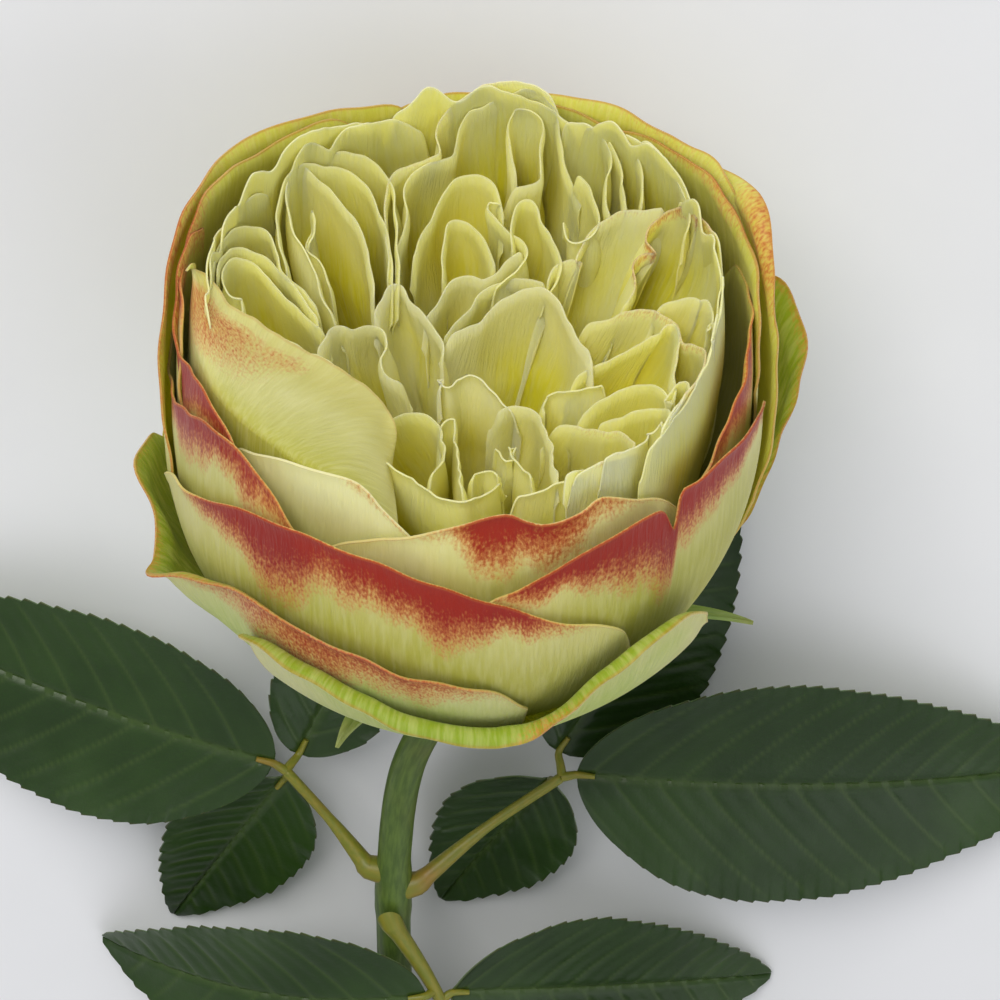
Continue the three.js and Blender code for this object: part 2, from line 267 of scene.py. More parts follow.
@dataclass
class Sheet:
    """A thin piece with an even thickness, such as a petal or a leaf blade."""

    name: str
    across: int
    along: int
    thickness: float
    crowding: float = 1.5

    def build(self, shape: Callable[[Array, Array], tuple[Array, dict[str, Array]]],
              outward: Callable[[Array], Array]) -> bpy.types.Object:
        """Makes the sheet.

        Args:
            shape: Gives the places and the tags of the points at s, from -1 to 1 across, and
                t, from 0 to 1 along. Both come as arrays of rows by columns.
            outward: Gives the way that counts as outside at places in the row's frame.

        Returns:
            The piece, in the row's frame.
        """
        bpy.ops.object.select_all(action="DESELECT")
        bpy.ops.mesh.primitive_grid_add(x_subdivisions=self.across, y_subdivisions=self.along,
                                        size=2)
        piece = bpy.context.object
        piece.name = self.name
        piece.data.name = self.name
        flat = mesh_points(piece)
        columns, rows = self.across + 1, self.along + 1
        order = np.lexsort((np.round(flat[:, 0], 5), np.round(flat[:, 1], 5)))
        s = flat[order, 0].reshape(rows, columns)
        t = 1 - (1 - (flat[order, 1].reshape(rows, columns) + 1) / 2) ** self.crowding
        places, tags = shape(s, t)
        moved = np.zeros_like(flat)
        moved[order] = places.reshape(-1, 3)
        count = len(flat)
        for name, values in tags.items():
            spread = np.zeros((count, 3) if values.ndim == 3 else count)
            spread[order] = values.reshape(spread.shape)
            tag(piece, name, spread)
        move_points(piece, moved)
        solid = piece.modifiers.new("thickness", "SOLIDIFY")
        solid.thickness = self.thickness * MM
        solid.offset = 0
        solid.use_even_offset = False
        apply_modifiers(piece)
        points = mesh_points(piece) / MM
        apart = points[:count] - points[count:2 * count]
        facing = np.sum(apart * outward(points[:count]), axis=1)
        first_is_outside = np.sum(facing) > 0
        inside = np.zeros(len(points))
        inside[:count] = 0.0 if first_is_outside else 1.0
        inside[count:2 * count] = 1.0 if first_is_outside else 0.0
        tag(piece, "inside", inside)
        bpy.ops.object.mode_set(mode="EDIT")
        face_outward()
        return piece


def tube(name: str, path: Array, radii: Array, sides: int) -> bpy.types.Object:
    """A closed round bar along a path.

    Args:
        name: The piece's name.
        path: Its middle line, one point a row, in the row's frame.
        radii: Its radius at each point.
        sides: How many sides it has.

    Returns:
        The piece, in the row's frame.
    """
    bpy.ops.object.select_all(action="DESELECT")
    bpy.ops.mesh.primitive_grid_add(x_subdivisions=sides, y_subdivisions=len(path) - 1, size=2)
    piece = bpy.context.object
    piece.name = name
    piece.data.name = name
    flat = mesh_points(piece)
    row = np.rint((flat[:, 1] + 1) / 2 * (len(path) - 1)).astype(int)
    turn = flat[:, 0] * math.pi
    along = unit(np.gradient(path, axis=0))
    side = unit(np.cross(along, np.array([0.05, 0.02, 1.0])))
    over = np.cross(side, along)
    reach = radii[row][:, None]
    ring = np.cos(turn)[:, None] * side[row] + np.sin(turn)[:, None] * over[row]
    places = path[row] + reach * ring
    tag(piece, "along", row / (len(path) - 1))
    tag(piece, "grain", np.stack([turn * radii.mean(), row * 1.0, np.zeros(len(row))], axis=1))
    move_points(piece, places)
    select_only(piece)
    bpy.ops.object.mode_set(mode="EDIT")
    bpy.ops.mesh.select_all(action="SELECT")
    bpy.ops.mesh.remove_doubles(threshold=1e-6)
    bpy.ops.mesh.select_all(action="DESELECT")
    bpy.ops.mesh.select_non_manifold()
    bpy.ops.mesh.fill_holes(sides=0)
    face_outward()
    return piece


# ---- Finishes ----
class Wiring:
    """A material's node tree, with short calls for the nodes that the finishes use."""

    def __init__(self, name: str) -> None:
        """Starts a material with one Principled BSDF.

        Args:
            name: The material's name.
        """
        self.material = bpy.data.materials.new(name)
        self.material.use_nodes = True
        self.tree = self.material.node_tree
        self.skin = self.tree.nodes["Principled BSDF"]

    def put(self, socket: bpy.types.NodeSocket, value: object) -> None:
        """Links a socket to an output, or sets its value.

        Args:
            socket: The socket to fill.
            value: An output to link, or a value.
        """
        if isinstance(value, bpy.types.NodeSocket):
            self.tree.links.new(value, socket)
        elif isinstance(value, tuple) and len(value) == 3 and socket.type == "RGBA":
            socket.default_value = (*value, 1.0)
        else:
            socket.default_value = value

    def attribute(self, name: str, vector: bool = False) -> bpy.types.NodeSocket:
        """A value written on the piece's vertices.

        Args:
            name: The value's name.
            vector: Whether it is a vector.

        Returns:
            The output that carries it.
        """
        node = self.tree.nodes.new("ShaderNodeAttribute")
        node.attribute_name = name
        return node.outputs["Vector" if vector else "Fac"]

    def maths(self, operation: str, first: object, second: object = 0.0,
              clamp: bool = False) -> bpy.types.NodeSocket:
        """One sum, product or other operation.

        Args:
            operation: What to do, as Blender names it.
            first: The first value or output.
            second: The second value or output.
            clamp: Whether to keep the result from 0 to 1.

        Returns:
            The output that carries the result.
        """
        node = self.tree.nodes.new("ShaderNodeMath")
        node.operation = operation
        node.use_clamp = clamp
        self.put(node.inputs[0], first)
        self.put(node.inputs[1], second)
        return node.outputs[0]

    def step(self, value: object, low: float, high: float, to: tuple[float, float] = (0.0, 1.0)
             ) -> bpy.types.NodeSocket:
        """A smooth step between two values.

        Args:
            value: The value or output to step.
            low: Where the step starts.
            high: Where the step ends.
            to: The results at the start and the end.

        Returns:
            The output that carries the result.
        """
        node = self.tree.nodes.new("ShaderNodeMapRange")
        node.interpolation_type = "SMOOTHSTEP"
        self.put(node.inputs["Value"], value)
        node.inputs["From Min"].default_value = low
        node.inputs["From Max"].default_value = high
        node.inputs["To Min"].default_value = to[0]
        node.inputs["To Max"].default_value = to[1]
        return node.outputs["Result"]

    def mix(self, share: object, first: object, second: object) -> bpy.types.NodeSocket:
        """A mix of two colours.

        Args:
            share: How much of the second, from 0 to 1.
            first: The first value or output.
            second: The second value or output.

        Returns:
            The output that carries the mixed colour.
        """
        node = self.tree.nodes.new("ShaderNodeMix")
        node.data_type = "RGBA"
        self.put(node.inputs[0], share)
        self.put(node.inputs[6], first)
        self.put(node.inputs[7], second)
        return node.outputs[2]

    def stretch(self, vector: object, scale: tuple[float, float, float]) -> bpy.types.NodeSocket:
        """A vector scaled by a different amount along each axis.

        Args:
            vector: The vector to read.
            scale: The scale along each axis.

        Returns:
            The output that carries the vector.
        """
        node = self.tree.nodes.new("ShaderNodeMapping")
        self.put(node.inputs["Vector"], vector)
        node.inputs["Scale"].default_value = scale
        return node.outputs[0]

    def noise(self, vector: object, scale: float, detail: float = 3.0,
              rough: float = 0.55) -> bpy.types.NodeSocket:
        """Soft noise from 0 to 1.

        Args:
            vector: The vector to read.
            scale: How fine it is.
            detail: How many finer layers it has.
            rough: How strong the finer layers are.

        Returns:
            The output that carries the noise.
        """
        node = self.tree.nodes.new("ShaderNodeTexNoise")
        self.put(node.inputs["Vector"], vector)
        node.inputs["Scale"].default_value = scale
        node.inputs["Detail"].default_value = detail
        node.inputs["Roughness"].default_value = rough
        return node.outputs["Fac"]

    def place(self) -> bpy.types.NodeSocket:
        """The place on the piece, in its own frame."""
        return self.tree.nodes.new("ShaderNodeTexCoord").outputs["Object"]

    def relief(self, height: object, distance: float, strength: float = 1.0) -> None:
        """Roughens the surface by a height from 0 to 1.

        Args:
            height: The height to follow.
            distance: How deep it is, in metres.
            strength: How strongly it shows, from 0 to 1.
        """
        node = self.tree.nodes.new("ShaderNodeBump")
        node.inputs["Distance"].default_value = distance
        node.inputs["Strength"].default_value = strength
        self.put(node.inputs["Height"], height)
        self.put(self.skin.inputs["Normal"], node.outputs[0])

    def group(self, tree: bpy.types.NodeTree) -> bpy.types.Node:
        """One of the shared effects.

        Args:
            tree: The effect's nodes.

        Returns:
            The node that stands for the effect.
        """
        node = self.tree.nodes.new("ShaderNodeGroup")
        node.node_tree = tree
        return node

    def set(self, name: str, value: object) -> None:
        """Sets or links an input of the surface."""
        self.put(self.skin.inputs[name], value)


def fibre_effect() -> bpy.types.NodeTree:
    """The fine fibres that run up a petal, shared by the petal finishes.

    Returns:
        A group with a grain vector in, and the fibres' tint and height, the mottling and the
        speckle out.
    """
    group = bpy.data.node_groups.new("petal_fibres", "ShaderNodeTree")
    group.interface.new_socket("Grain", in_out="INPUT", socket_type="NodeSocketVector")
    for name in ("Fibre", "Height", "Mottle", "Speckle"):
        group.interface.new_socket(name, in_out="OUTPUT", socket_type="NodeSocketFloat")
    start = group.nodes.new("NodeGroupInput")
    end = group.nodes.new("NodeGroupOutput")

    def noise(stretch: tuple[float, float, float], detail: float) -> bpy.types.NodeSocket:
        """Noise on the stretched grain.

        Args:
            stretch: How fine it is along each axis.
            detail: How many finer layers it has.

        Returns:
            The output that carries the noise.
        """
        mapping = group.nodes.new("ShaderNodeMapping")
        mapping.inputs["Scale"].default_value = stretch
        group.links.new(start.outputs["Grain"], mapping.inputs["Vector"])
        texture = group.nodes.new("ShaderNodeTexNoise")
        texture.inputs["Scale"].default_value = 1.0
        texture.inputs["Detail"].default_value = detail
        group.links.new(mapping.outputs[0], texture.inputs["Vector"])
        return texture.outputs["Fac"]

    fibre = noise((1.7, 0.16, 1.0), 3.0)
    fine = noise((4.2, 0.5, 1.0), 2.0)
    total = group.nodes.new("ShaderNodeMath")
    total.operation = "MULTIPLY_ADD"
    group.links.new(fine, total.inputs[0])
    total.inputs[1].default_value = 0.6
    group.links.new(fibre, total.inputs[2])
    group.links.new(fibre, end.inputs["Fibre"])
    group.links.new(total.outputs[0], end.inputs["Height"])
    group.links.new(noise((0.16, 0.07, 1.0), 2.0), end.inputs["Mottle"])
    group.links.new(noise((3.4, 1.5, 1.0), 2.0), end.inputs["Speckle"])
    return group


@dataclass(frozen=True)
class PetalFinish:
    """Petal tissue: two faces, a thin rim line (a painted highlight on the inner petals) and a
    flush that runs down from the margin.
    """

    name: str
    outer: Colour
    outer_deep: Colour
    inner: Colour
    inner_deep: Colour
    rim: Colour
    rim_width: float
    fade: float
    flush_within: float = 0.4
    rim_share: float = 0.6
    coral: Colour = linear(206, 116, 58)
    red: Colour = linear(148, 24, 8)
    pale: Colour = linear(240, 236, 172)
    glow: float = 0.35

    def material(self, fibres: bpy.types.NodeTree) -> bpy.types.Material:
        """Builds the material.

        Args:
            fibres: The shared fibre effect.

        Returns:
            The finished material.
        """
        wires = Wiring(self.name)
        effect = wires.group(fibres)
        wires.put(effect.inputs["Grain"], wires.attribute("grain", vector=True))
        fibre, mottle = effect.outputs["Fibre"], effect.outputs["Mottle"]
        speckle = effect.outputs["Speckle"]
        edge = wires.attribute("edge")
        inside = wires.attribute("inside")
        wavy = wires.maths("ADD", edge, wires.maths("MULTIPLY", mottle, self.fade * 0.5))
        deep = wires.step(wavy, self.fade * 0.2, self.fade * 1.25)
        outer = wires.mix(deep, self.outer, self.outer_deep)
        inner = wires.mix(deep, self.inner, self.inner_deep)
        face = wires.mix(inside, outer, inner)
        cream = wires.maths("MULTIPLY", wires.attribute("tone"),
                            wires.step(wavy, self.fade * 1.6, 0.0))
        face = wires.mix(cream, face, self.pale)
        streak = wires.step(fibre, 0.35, 0.72, (0.0, 0.22))
        face = wires.mix(streak, face, self.pale)
        amount = wires.maths("MULTIPLY", wires.attribute("flush"),
                             wires.step(inside, 0.0, 1.0, (1.0, self.flush_within)))
        grain = wires.maths("ADD", wires.maths("MULTIPLY", fibre, 0.35),
                            wires.maths("MULTIPLY", speckle, 0.95))
        patchy = wires.maths("ADD", wires.maths("MULTIPLY", amount, 1.25),
                             wires.maths("SUBTRACT", grain, 0.68))
        present = wires.step(amount, 0.0, 0.2)
        flush = wires.maths("MULTIPLY", patchy, present, clamp=True)
        face = wires.mix(wires.step(flush, -0.05, 0.72, (0.0, 0.9)), face, self.coral)
        face = wires.mix(wires.step(flush, 0.36, 0.98), face, self.red)
        # The thin line along the margin: on the guard and outer petals it is their red-brown edge;
        # on the inner petals it is a pale painted highlight where light catches the margin.
        shown = wires.maths("MULTIPLY", wires.attribute("rim"), self.rim_share)
        line = wires.maths("MULTIPLY", wires.step(edge, self.rim_width, self.rim_width * 0.3),
                           shown)
        face = wires.mix(line, face, self.rim)
        wires.set("Base Color", face)
        wires.set("Roughness", wires.step(fibre, 0.3, 0.8, (0.42, 0.58)))
        wires.set("Specular IOR Level", 0.22)
        wires.set("Subsurface Weight", self.glow)
        wires.set("Subsurface Radius", (1.0, 0.85, 0.3))
        wires.set("Subsurface Scale", 0.0035)
        wires.set("Sheen Weight", 0.05)
        wires.set("Sheen Roughness", 0.6)
        wires.relief(effect.outputs["Height"], 0.0003, 0.6)
        return wires.material


@dataclass(frozen=True)
class LeafFinish:
    """A glossy leaf blade: dark above with paler veins, and pale beneath."""

    name: str
    top: Colour = linear(28, 50, 12)
    top_light: Colour = linear(40, 64, 20)
    vein: Colour = linear(78, 98, 44)
    under: Colour = linear(98, 120, 82)
    margin: Colour = linear(84, 62, 30)

    def material(self) -> bpy.types.Material:
        """Builds the material.

        Returns:
            The finished material.
        """
        wires = Wiring(self.name)
        place = wires.place()
        cloud = wires.noise(place, 45.0, 3.0)
        cells = wires.noise(place, 900.0, 2.0)
        vein = wires.attribute("vein")
        top = wires.mix(wires.step(cloud, 0.35, 0.7), self.top, self.top_light)
        top = wires.mix(wires.maths("MULTIPLY", vein, 0.4), top, self.vein)
        under = wires.mix(wires.maths("MULTIPLY", vein, 0.5), self.under, self.vein)
        face = wires.mix(wires.attribute("inside"), top, under)
        face = wires.mix(wires.step(wires.attribute("edge"), 0.5, 0.1, (0.0, 0.3)), face,
                         self.margin)
        wires.set("Base Color", face)
        gloss = wires.step(wires.noise(place, 160.0, 3.0), 0.3, 0.7, (0.3, 0.44))
        wires.set("Roughness", gloss)
        wires.set("Specular IOR Level", 0.32)
        wires.set("Coat Weight", 0.05)
        wires.set("Coat Roughness", 0.4)
        wires.set("Subsurface Weight", 0.06)
        wires.set("Subsurface Radius", (0.5, 1.0, 0.2))
        wires.set("Subsurface Scale", 0.001)
        wires.relief(cells, 0.00012, 0.5)
        return wires.material


@dataclass(frozen=True)
class SkinFinish:
    """The green skin of a stem, stalk, hip or sepal, or the brown skin of a prickle."""

    name: str
    base: Colour
    other: Colour
    blush: Colour
    blush_share: float
    rough: float = 0.42

    def material(self) -> bpy.types.Material:
        """Builds the material.

        Returns:
            The finished material.
        """
        wires = Wiring(self.name)
        place = wires.place()
        streaks = wires.noise(wires.stretch(wires.attribute("grain", vector=True),
                                            (1.3, 0.22, 1.0)), 1.0, 3.0)
        cloud = wires.noise(place, 60.0, 3.0)
        face = wires.mix(wires.step(streaks, 0.32, 0.7), self.base, self.other)
        face = wires.mix(wires.step(cloud, 0.46, 0.72, (0.0, self.blush_share)), face, self.blush)
        dots = wires.step(wires.noise(place, 1500.0, 1.0), 0.62, 0.72, (0.0, 0.25))
        face = wires.mix(dots, face, self.other)
        wires.set("Base Color", face)
        wires.set("Roughness", self.rough)
        wires.set("Specular IOR Level", 0.42)
        wires.set("Subsurface Weight", 0.12)
        wires.set("Subsurface Radius", (0.8, 1.0, 0.3))
        wires.set("Subsurface Scale", 0.0015)
        wires.relief(wires.maths("ADD", streaks, wires.noise(place, 700.0, 2.0)), 0.00012, 0.3)
        return wires.material


@dataclass(frozen=True)
class PlainFinish:
    """An even, matt finish with a faint grain."""

    name: str
    base: Colour
    other: Colour
    scale: float
    rough: float

    def material(self) -> bpy.types.Material:
        """Builds the material.

        Returns:
            The finished material.
        """
        wires = Wiring(self.name)
        grain = wires.noise(wires.place(), self.scale, 4.0)
        wires.set("Base Color", wires.mix(wires.step(grain, 0.3, 0.7), self.base, self.other))
        wires.set("Roughness", self.rough)
        wires.set("Specular IOR Level", 0.2)
        return wires.material


class Paints:
    """Every finish of the rose, built once."""

    def __init__(self) -> None:
        """Builds the shared effect and then each finish."""
        fibres = fibre_effect()
        self.guard = PetalFinish(
            "guard_petal", outer=linear(218, 208, 124), outer_deep=linear(180, 176, 64),
            inner=linear(206, 204, 88), inner_deep=linear(196, 190, 40),
            rim=linear(186, 110, 56), rim_width=0.4, fade=18.0).material(fibres)
        self.outer = PetalFinish(
            "outer_petal", outer=linear(216, 212, 142), outer_deep=linear(178, 196, 86),
            inner=linear(130, 156, 38), inner_deep=linear(112, 142, 18),
            rim=linear(176, 94, 48), rim_width=0.6, fade=16.0).material(fibres)
        # The inner petals' pale rim colour is a painted highlight along their lit margins.
        self.inner = PetalFinish(
            "inner_petal", outer=linear(248, 243, 142), outer_deep=linear(234, 222, 46),
            inner=linear(247, 241, 120), inner_deep=linear(234, 220, 38),
            rim=linear(246, 242, 186), rim_width=0.45, fade=13.0, flush_within=0.8,
            rim_share=0.9, glow=0.55).material(fibres)
        self.leaf = LeafFinish("leaf_blade").material()
        self.stem = SkinFinish("stem_skin", linear(66, 88, 30), linear(88, 110, 42),
                               linear(100, 84, 34), 0.25).material()
        self.stalk = SkinFinish("stalk_skin", linear(108, 114, 30), linear(130, 122, 36),
                                linear(150, 92, 44), 0.6).material()
        self.calyx = SkinFinish("calyx_skin", linear(116, 142, 62), linear(142, 162, 84),
                                linear(150, 110, 60), 0.3).material()
        self.prickle = SkinFinish("prickle_skin", linear(140, 82, 56), linear(176, 112, 72),
                                  linear(110, 50, 36), 0.5, 0.35).material()
        self.pith = PlainFinish("cut_end", linear(206, 210, 160), linear(178, 186, 120), 1400.0,
                                0.75).material()
        self.floor = PlainFinish("table_top", linear(226, 226, 228), linear(228, 228, 230), 30.0,
                                 0.9).material()


# ---- The bloom ----
def foot_latitude(layer: float) -> float:
    """The latitude at which a petal of a layer leaves the column, in radians."""
    share = COLUMN_RADIUS / (GLOBE_RADIUS - layer * LAYER_STEP)
    return -math.acos(share ** (1 / FOOT_SQUARENESS))


def on_globe(azimuth: Array, latitude: Array, layer: float) -> Array:
    """Places on the globe's surface of a layer, angles in radians, in the bloom's frame.

    Args:
        azimuth: Turns about the bloom's axis.
        latitude: Turns up from the widest height.
        layer: How many petals in from the outside it lies.

    Returns:
        One place for each pair of angles, in millimetres.
    """
    power = np.where(latitude < 0, FOOT_SQUARENESS, CROWN_SQUARENESS)
    radius = (GLOBE_RADIUS - layer * LAYER_STEP) * np.cos(latitude) ** power
    half = np.where(latitude < 0, GLOBE_FOOT - layer * FOOT_STEP, GLOBE_CROWN)
    bumps = (0.45 * np.sin(2.3 * azimuth + 1.7 * latitude + 0.6)
             + 0.3 * np.sin(5.1 * azimuth - 2.2 * latitude + 2.0))
    radius = radius + bumps * np.cos(latitude)
    return np.stack([radius * np.cos(azimuth), radius * np.sin(azimuth),
                     half * np.sin(latitude)], axis=-1)


@dataclass
class GuardPetal:
    """A broad outer petal that lies on the globe.

    Attributes:
        number: The frame's guard petal that it stands for.
        layer: How many petals in from the outside it lies.
        margin: Azimuth, height and how far out it stands, along its free edge, going round.
        roll: Azimuth, angle and length of the margin's outward roll.
        flush: Azimuth, strength and depth of the red flush below the margin.
        rim: How much the margin's thin line shows, from 0 to 1.
        tone: How creamy the petal is near its margin, from 0 to 1.
        outermost: Whether it is one of the lime petals that open outward.
        wave: How wavy its margin is, in millimetres.
    """

    number: int
    layer: float
    margin: tuple[tuple[float, ...], ...]
    roll: tuple[tuple[float, float, float], ...] = ((0.0, 18.0, 3.0),)
    flush: tuple[tuple[float, float, float], ...] = ((0.0, 0.0, 1.0),)
    rim: float = 0.6
    tone: float = 0.0
    outermost: bool = False
    wave: float = 0.5

    def along_margin(self, table: tuple[tuple[float, float, float], ...], azimuth: Array,
                     column: int) -> Array:
        """A value read off a table of azimuths, at each azimuth."""
        rows = np.array(table)
        return np.interp(azimuth, rows[:, 0], rows[:, column])

    def shape(self, s: Array, t: Array) -> tuple[Array, dict[str, Array]]:
        """Places and tags of the petal's points.

        Args:
            s: Places across the petal, from -1 to 1, as rows by columns.
            t: Places along the petal, from 0 at its foot to 1 at its margin.

        Returns:
            The places in the row's frame, in millimetres, and the tags by name.
        """
        points = np.array([(*p, 0.0) if len(p) == 2 else p for p in self.margin])
        azimuths = np.unwrap(np.radians(points[:, 0]))
        radius = GLOBE_RADIUS - self.layer * LAYER_STEP
        spine = np.stack([azimuths * radius, points[:, 1], points[:, 2]], axis=-1)
        across = (s[0] + 1) / 2
        edge = smooth_curve(spine, across)
        azimuth, height, out = edge[:, 0] / radius, edge[:, 1], edge[:, 2]
        height = height + self.wave * 0.5 * ripple(self.number, across, 21.0)
        half = np.where(height < 0, GLOBE_FOOT - self.layer * FOOT_STEP, GLOBE_CROWN)
        top = np.arcsin(np.clip(height / half, -0.98, 0.93))
        foot = foot_latitude(self.layer)
        middle = 0.5 * (azimuths[0] + azimuths[-1])
        rows = np.linspace(0, 1, 90)[:, None]
        latitude = foot + (top - foot) * rows
        turned = middle + (azimuth - middle) * narrow_at(rows)
        base = on_globe(turned, latitude, self.layer)
        radial = np.stack([np.cos(turned), np.sin(turned), np.zeros_like(turned)], axis=-1)
        degrees = np.degrees(azimuth)
        angle = np.radians(np.maximum(self.along_margin(self.roll, degrees, 1), 1.0))
        length = self.along_margin(self.roll, degrees, 2)
        rolled = length / angle * (1 - np.cos(np.minimum(angle, 2.4)))
        flare = np.maximum(out - rolled, 0.0)
        base = base + radial * (flare * ease(rows, 0.45, 1.0) ** 1.3)[..., None]
        places = np.zeros((*s.shape, 3))
        edge_gap = np.zeros(s.shape)
        for j in range(s.shape[1]):
            line = base[:, j]
            reach = np.concatenate([[0], np.cumsum(np.linalg.norm(np.diff(line, axis=0), axis=1))])
            bend = length[j] / angle[j]
            start = max(reach[-1] - bend * math.sin(min(angle[j], math.pi / 2)), 1.0)
            total = start + length[j]
            at = t[:, j] * total
            on_line = np.stack([np.interp(np.minimum(at, start), reach, line[:, k])
                                for k in range(3)], axis=-1)
            before = np.array([np.interp(start - 1.0, reach, line[:, k]) for k in range(3)])
            corner = np.array([np.interp(start, reach, line[:, k]) for k in range(3)])
            along = unit(corner - before)
            outward = radial[-1, j] - along * float(radial[-1, j] @ along)
            outward = unit(outward)
            turn = np.maximum(at - start, 0) / length[j] * angle[j]
            places[:, j] = (on_line + along * (bend * np.sin(turn))[:, None]
                            + outward * (bend * (1 - np.cos(turn)))[:, None])
            edge_gap[:, j] = total - at
        near = np.clip(1 - edge_gap / 9.0, 0, 1) ** 2
        sway = ripple(self.number + 40, across, 17.0)[None, :] * self.wave
        spread = np.stack([np.cos(azimuth), np.sin(azimuth), np.zeros_like(azimuth)], axis=-1)
        places = places + spread[None] * (near * sway)[..., None]
        strength = self.along_margin(self.flush, degrees, 1)
        depth = self.along_margin(self.flush, degrees, 2) * 1.3
        uneven = 1 + 0.3 * ripple(self.number + 80, across, 26.0)
        flush = strength * np.clip(1.12 - edge_gap / (depth * uneven), 0, 1) ** 0.9
        side_gap = (1 - np.abs(s)) * (azimuths[-1] - azimuths[0]) / 2 * radius
        tags = {
            "flush": flush,
            "edge": np.minimum(edge_gap, side_gap * 0.7 + 0.2),
            "rim": np.full(s.shape, self.rim),
            "tone": np.full(s.shape, self.tone),
            "grain": np.stack([s * (azimuths[-1] - azimuths[0]) / 2 * radius * narrow_at(t),
                               t * 70.0, np.full(s.shape, self.number * 7.3)], axis=-1),
        }
        return PLACE.lay(places.reshape(-1, 3)).reshape(places.shape), tags

    def build(self, paints: Paints) -> bpy.types.Object:
        """Makes the petal and gives it its finish.

        Args:
            paints: The finishes.

        Returns:
            The finished piece.
        """
        sheet = Sheet(f"guard_{self.number}", 88, 60, PETAL_THICKNESS)
        piece = sheet.build(self.shape, outward_of_bloom)
        finish = paints.outer if self.outermost else paints.guard
        finish_piece(piece, finish, (f"guard_petal_{self.number}",))
        return piece


def narrow_at(t: Array) -> Array:
    """How wide a guard petal is at t, as a share of its full width."""
    return FOOT_SHARE + (1 - FOOT_SHARE) * np.minimum(1, t * 1.6)


def outward_of_bloom(points: Array) -> Array:
    """The way out from the bloom's axis at places in the row's frame."""
    off = points - PLACE.middle
    return off - np.outer(off @ PLACE.axis, PLACE.axis)


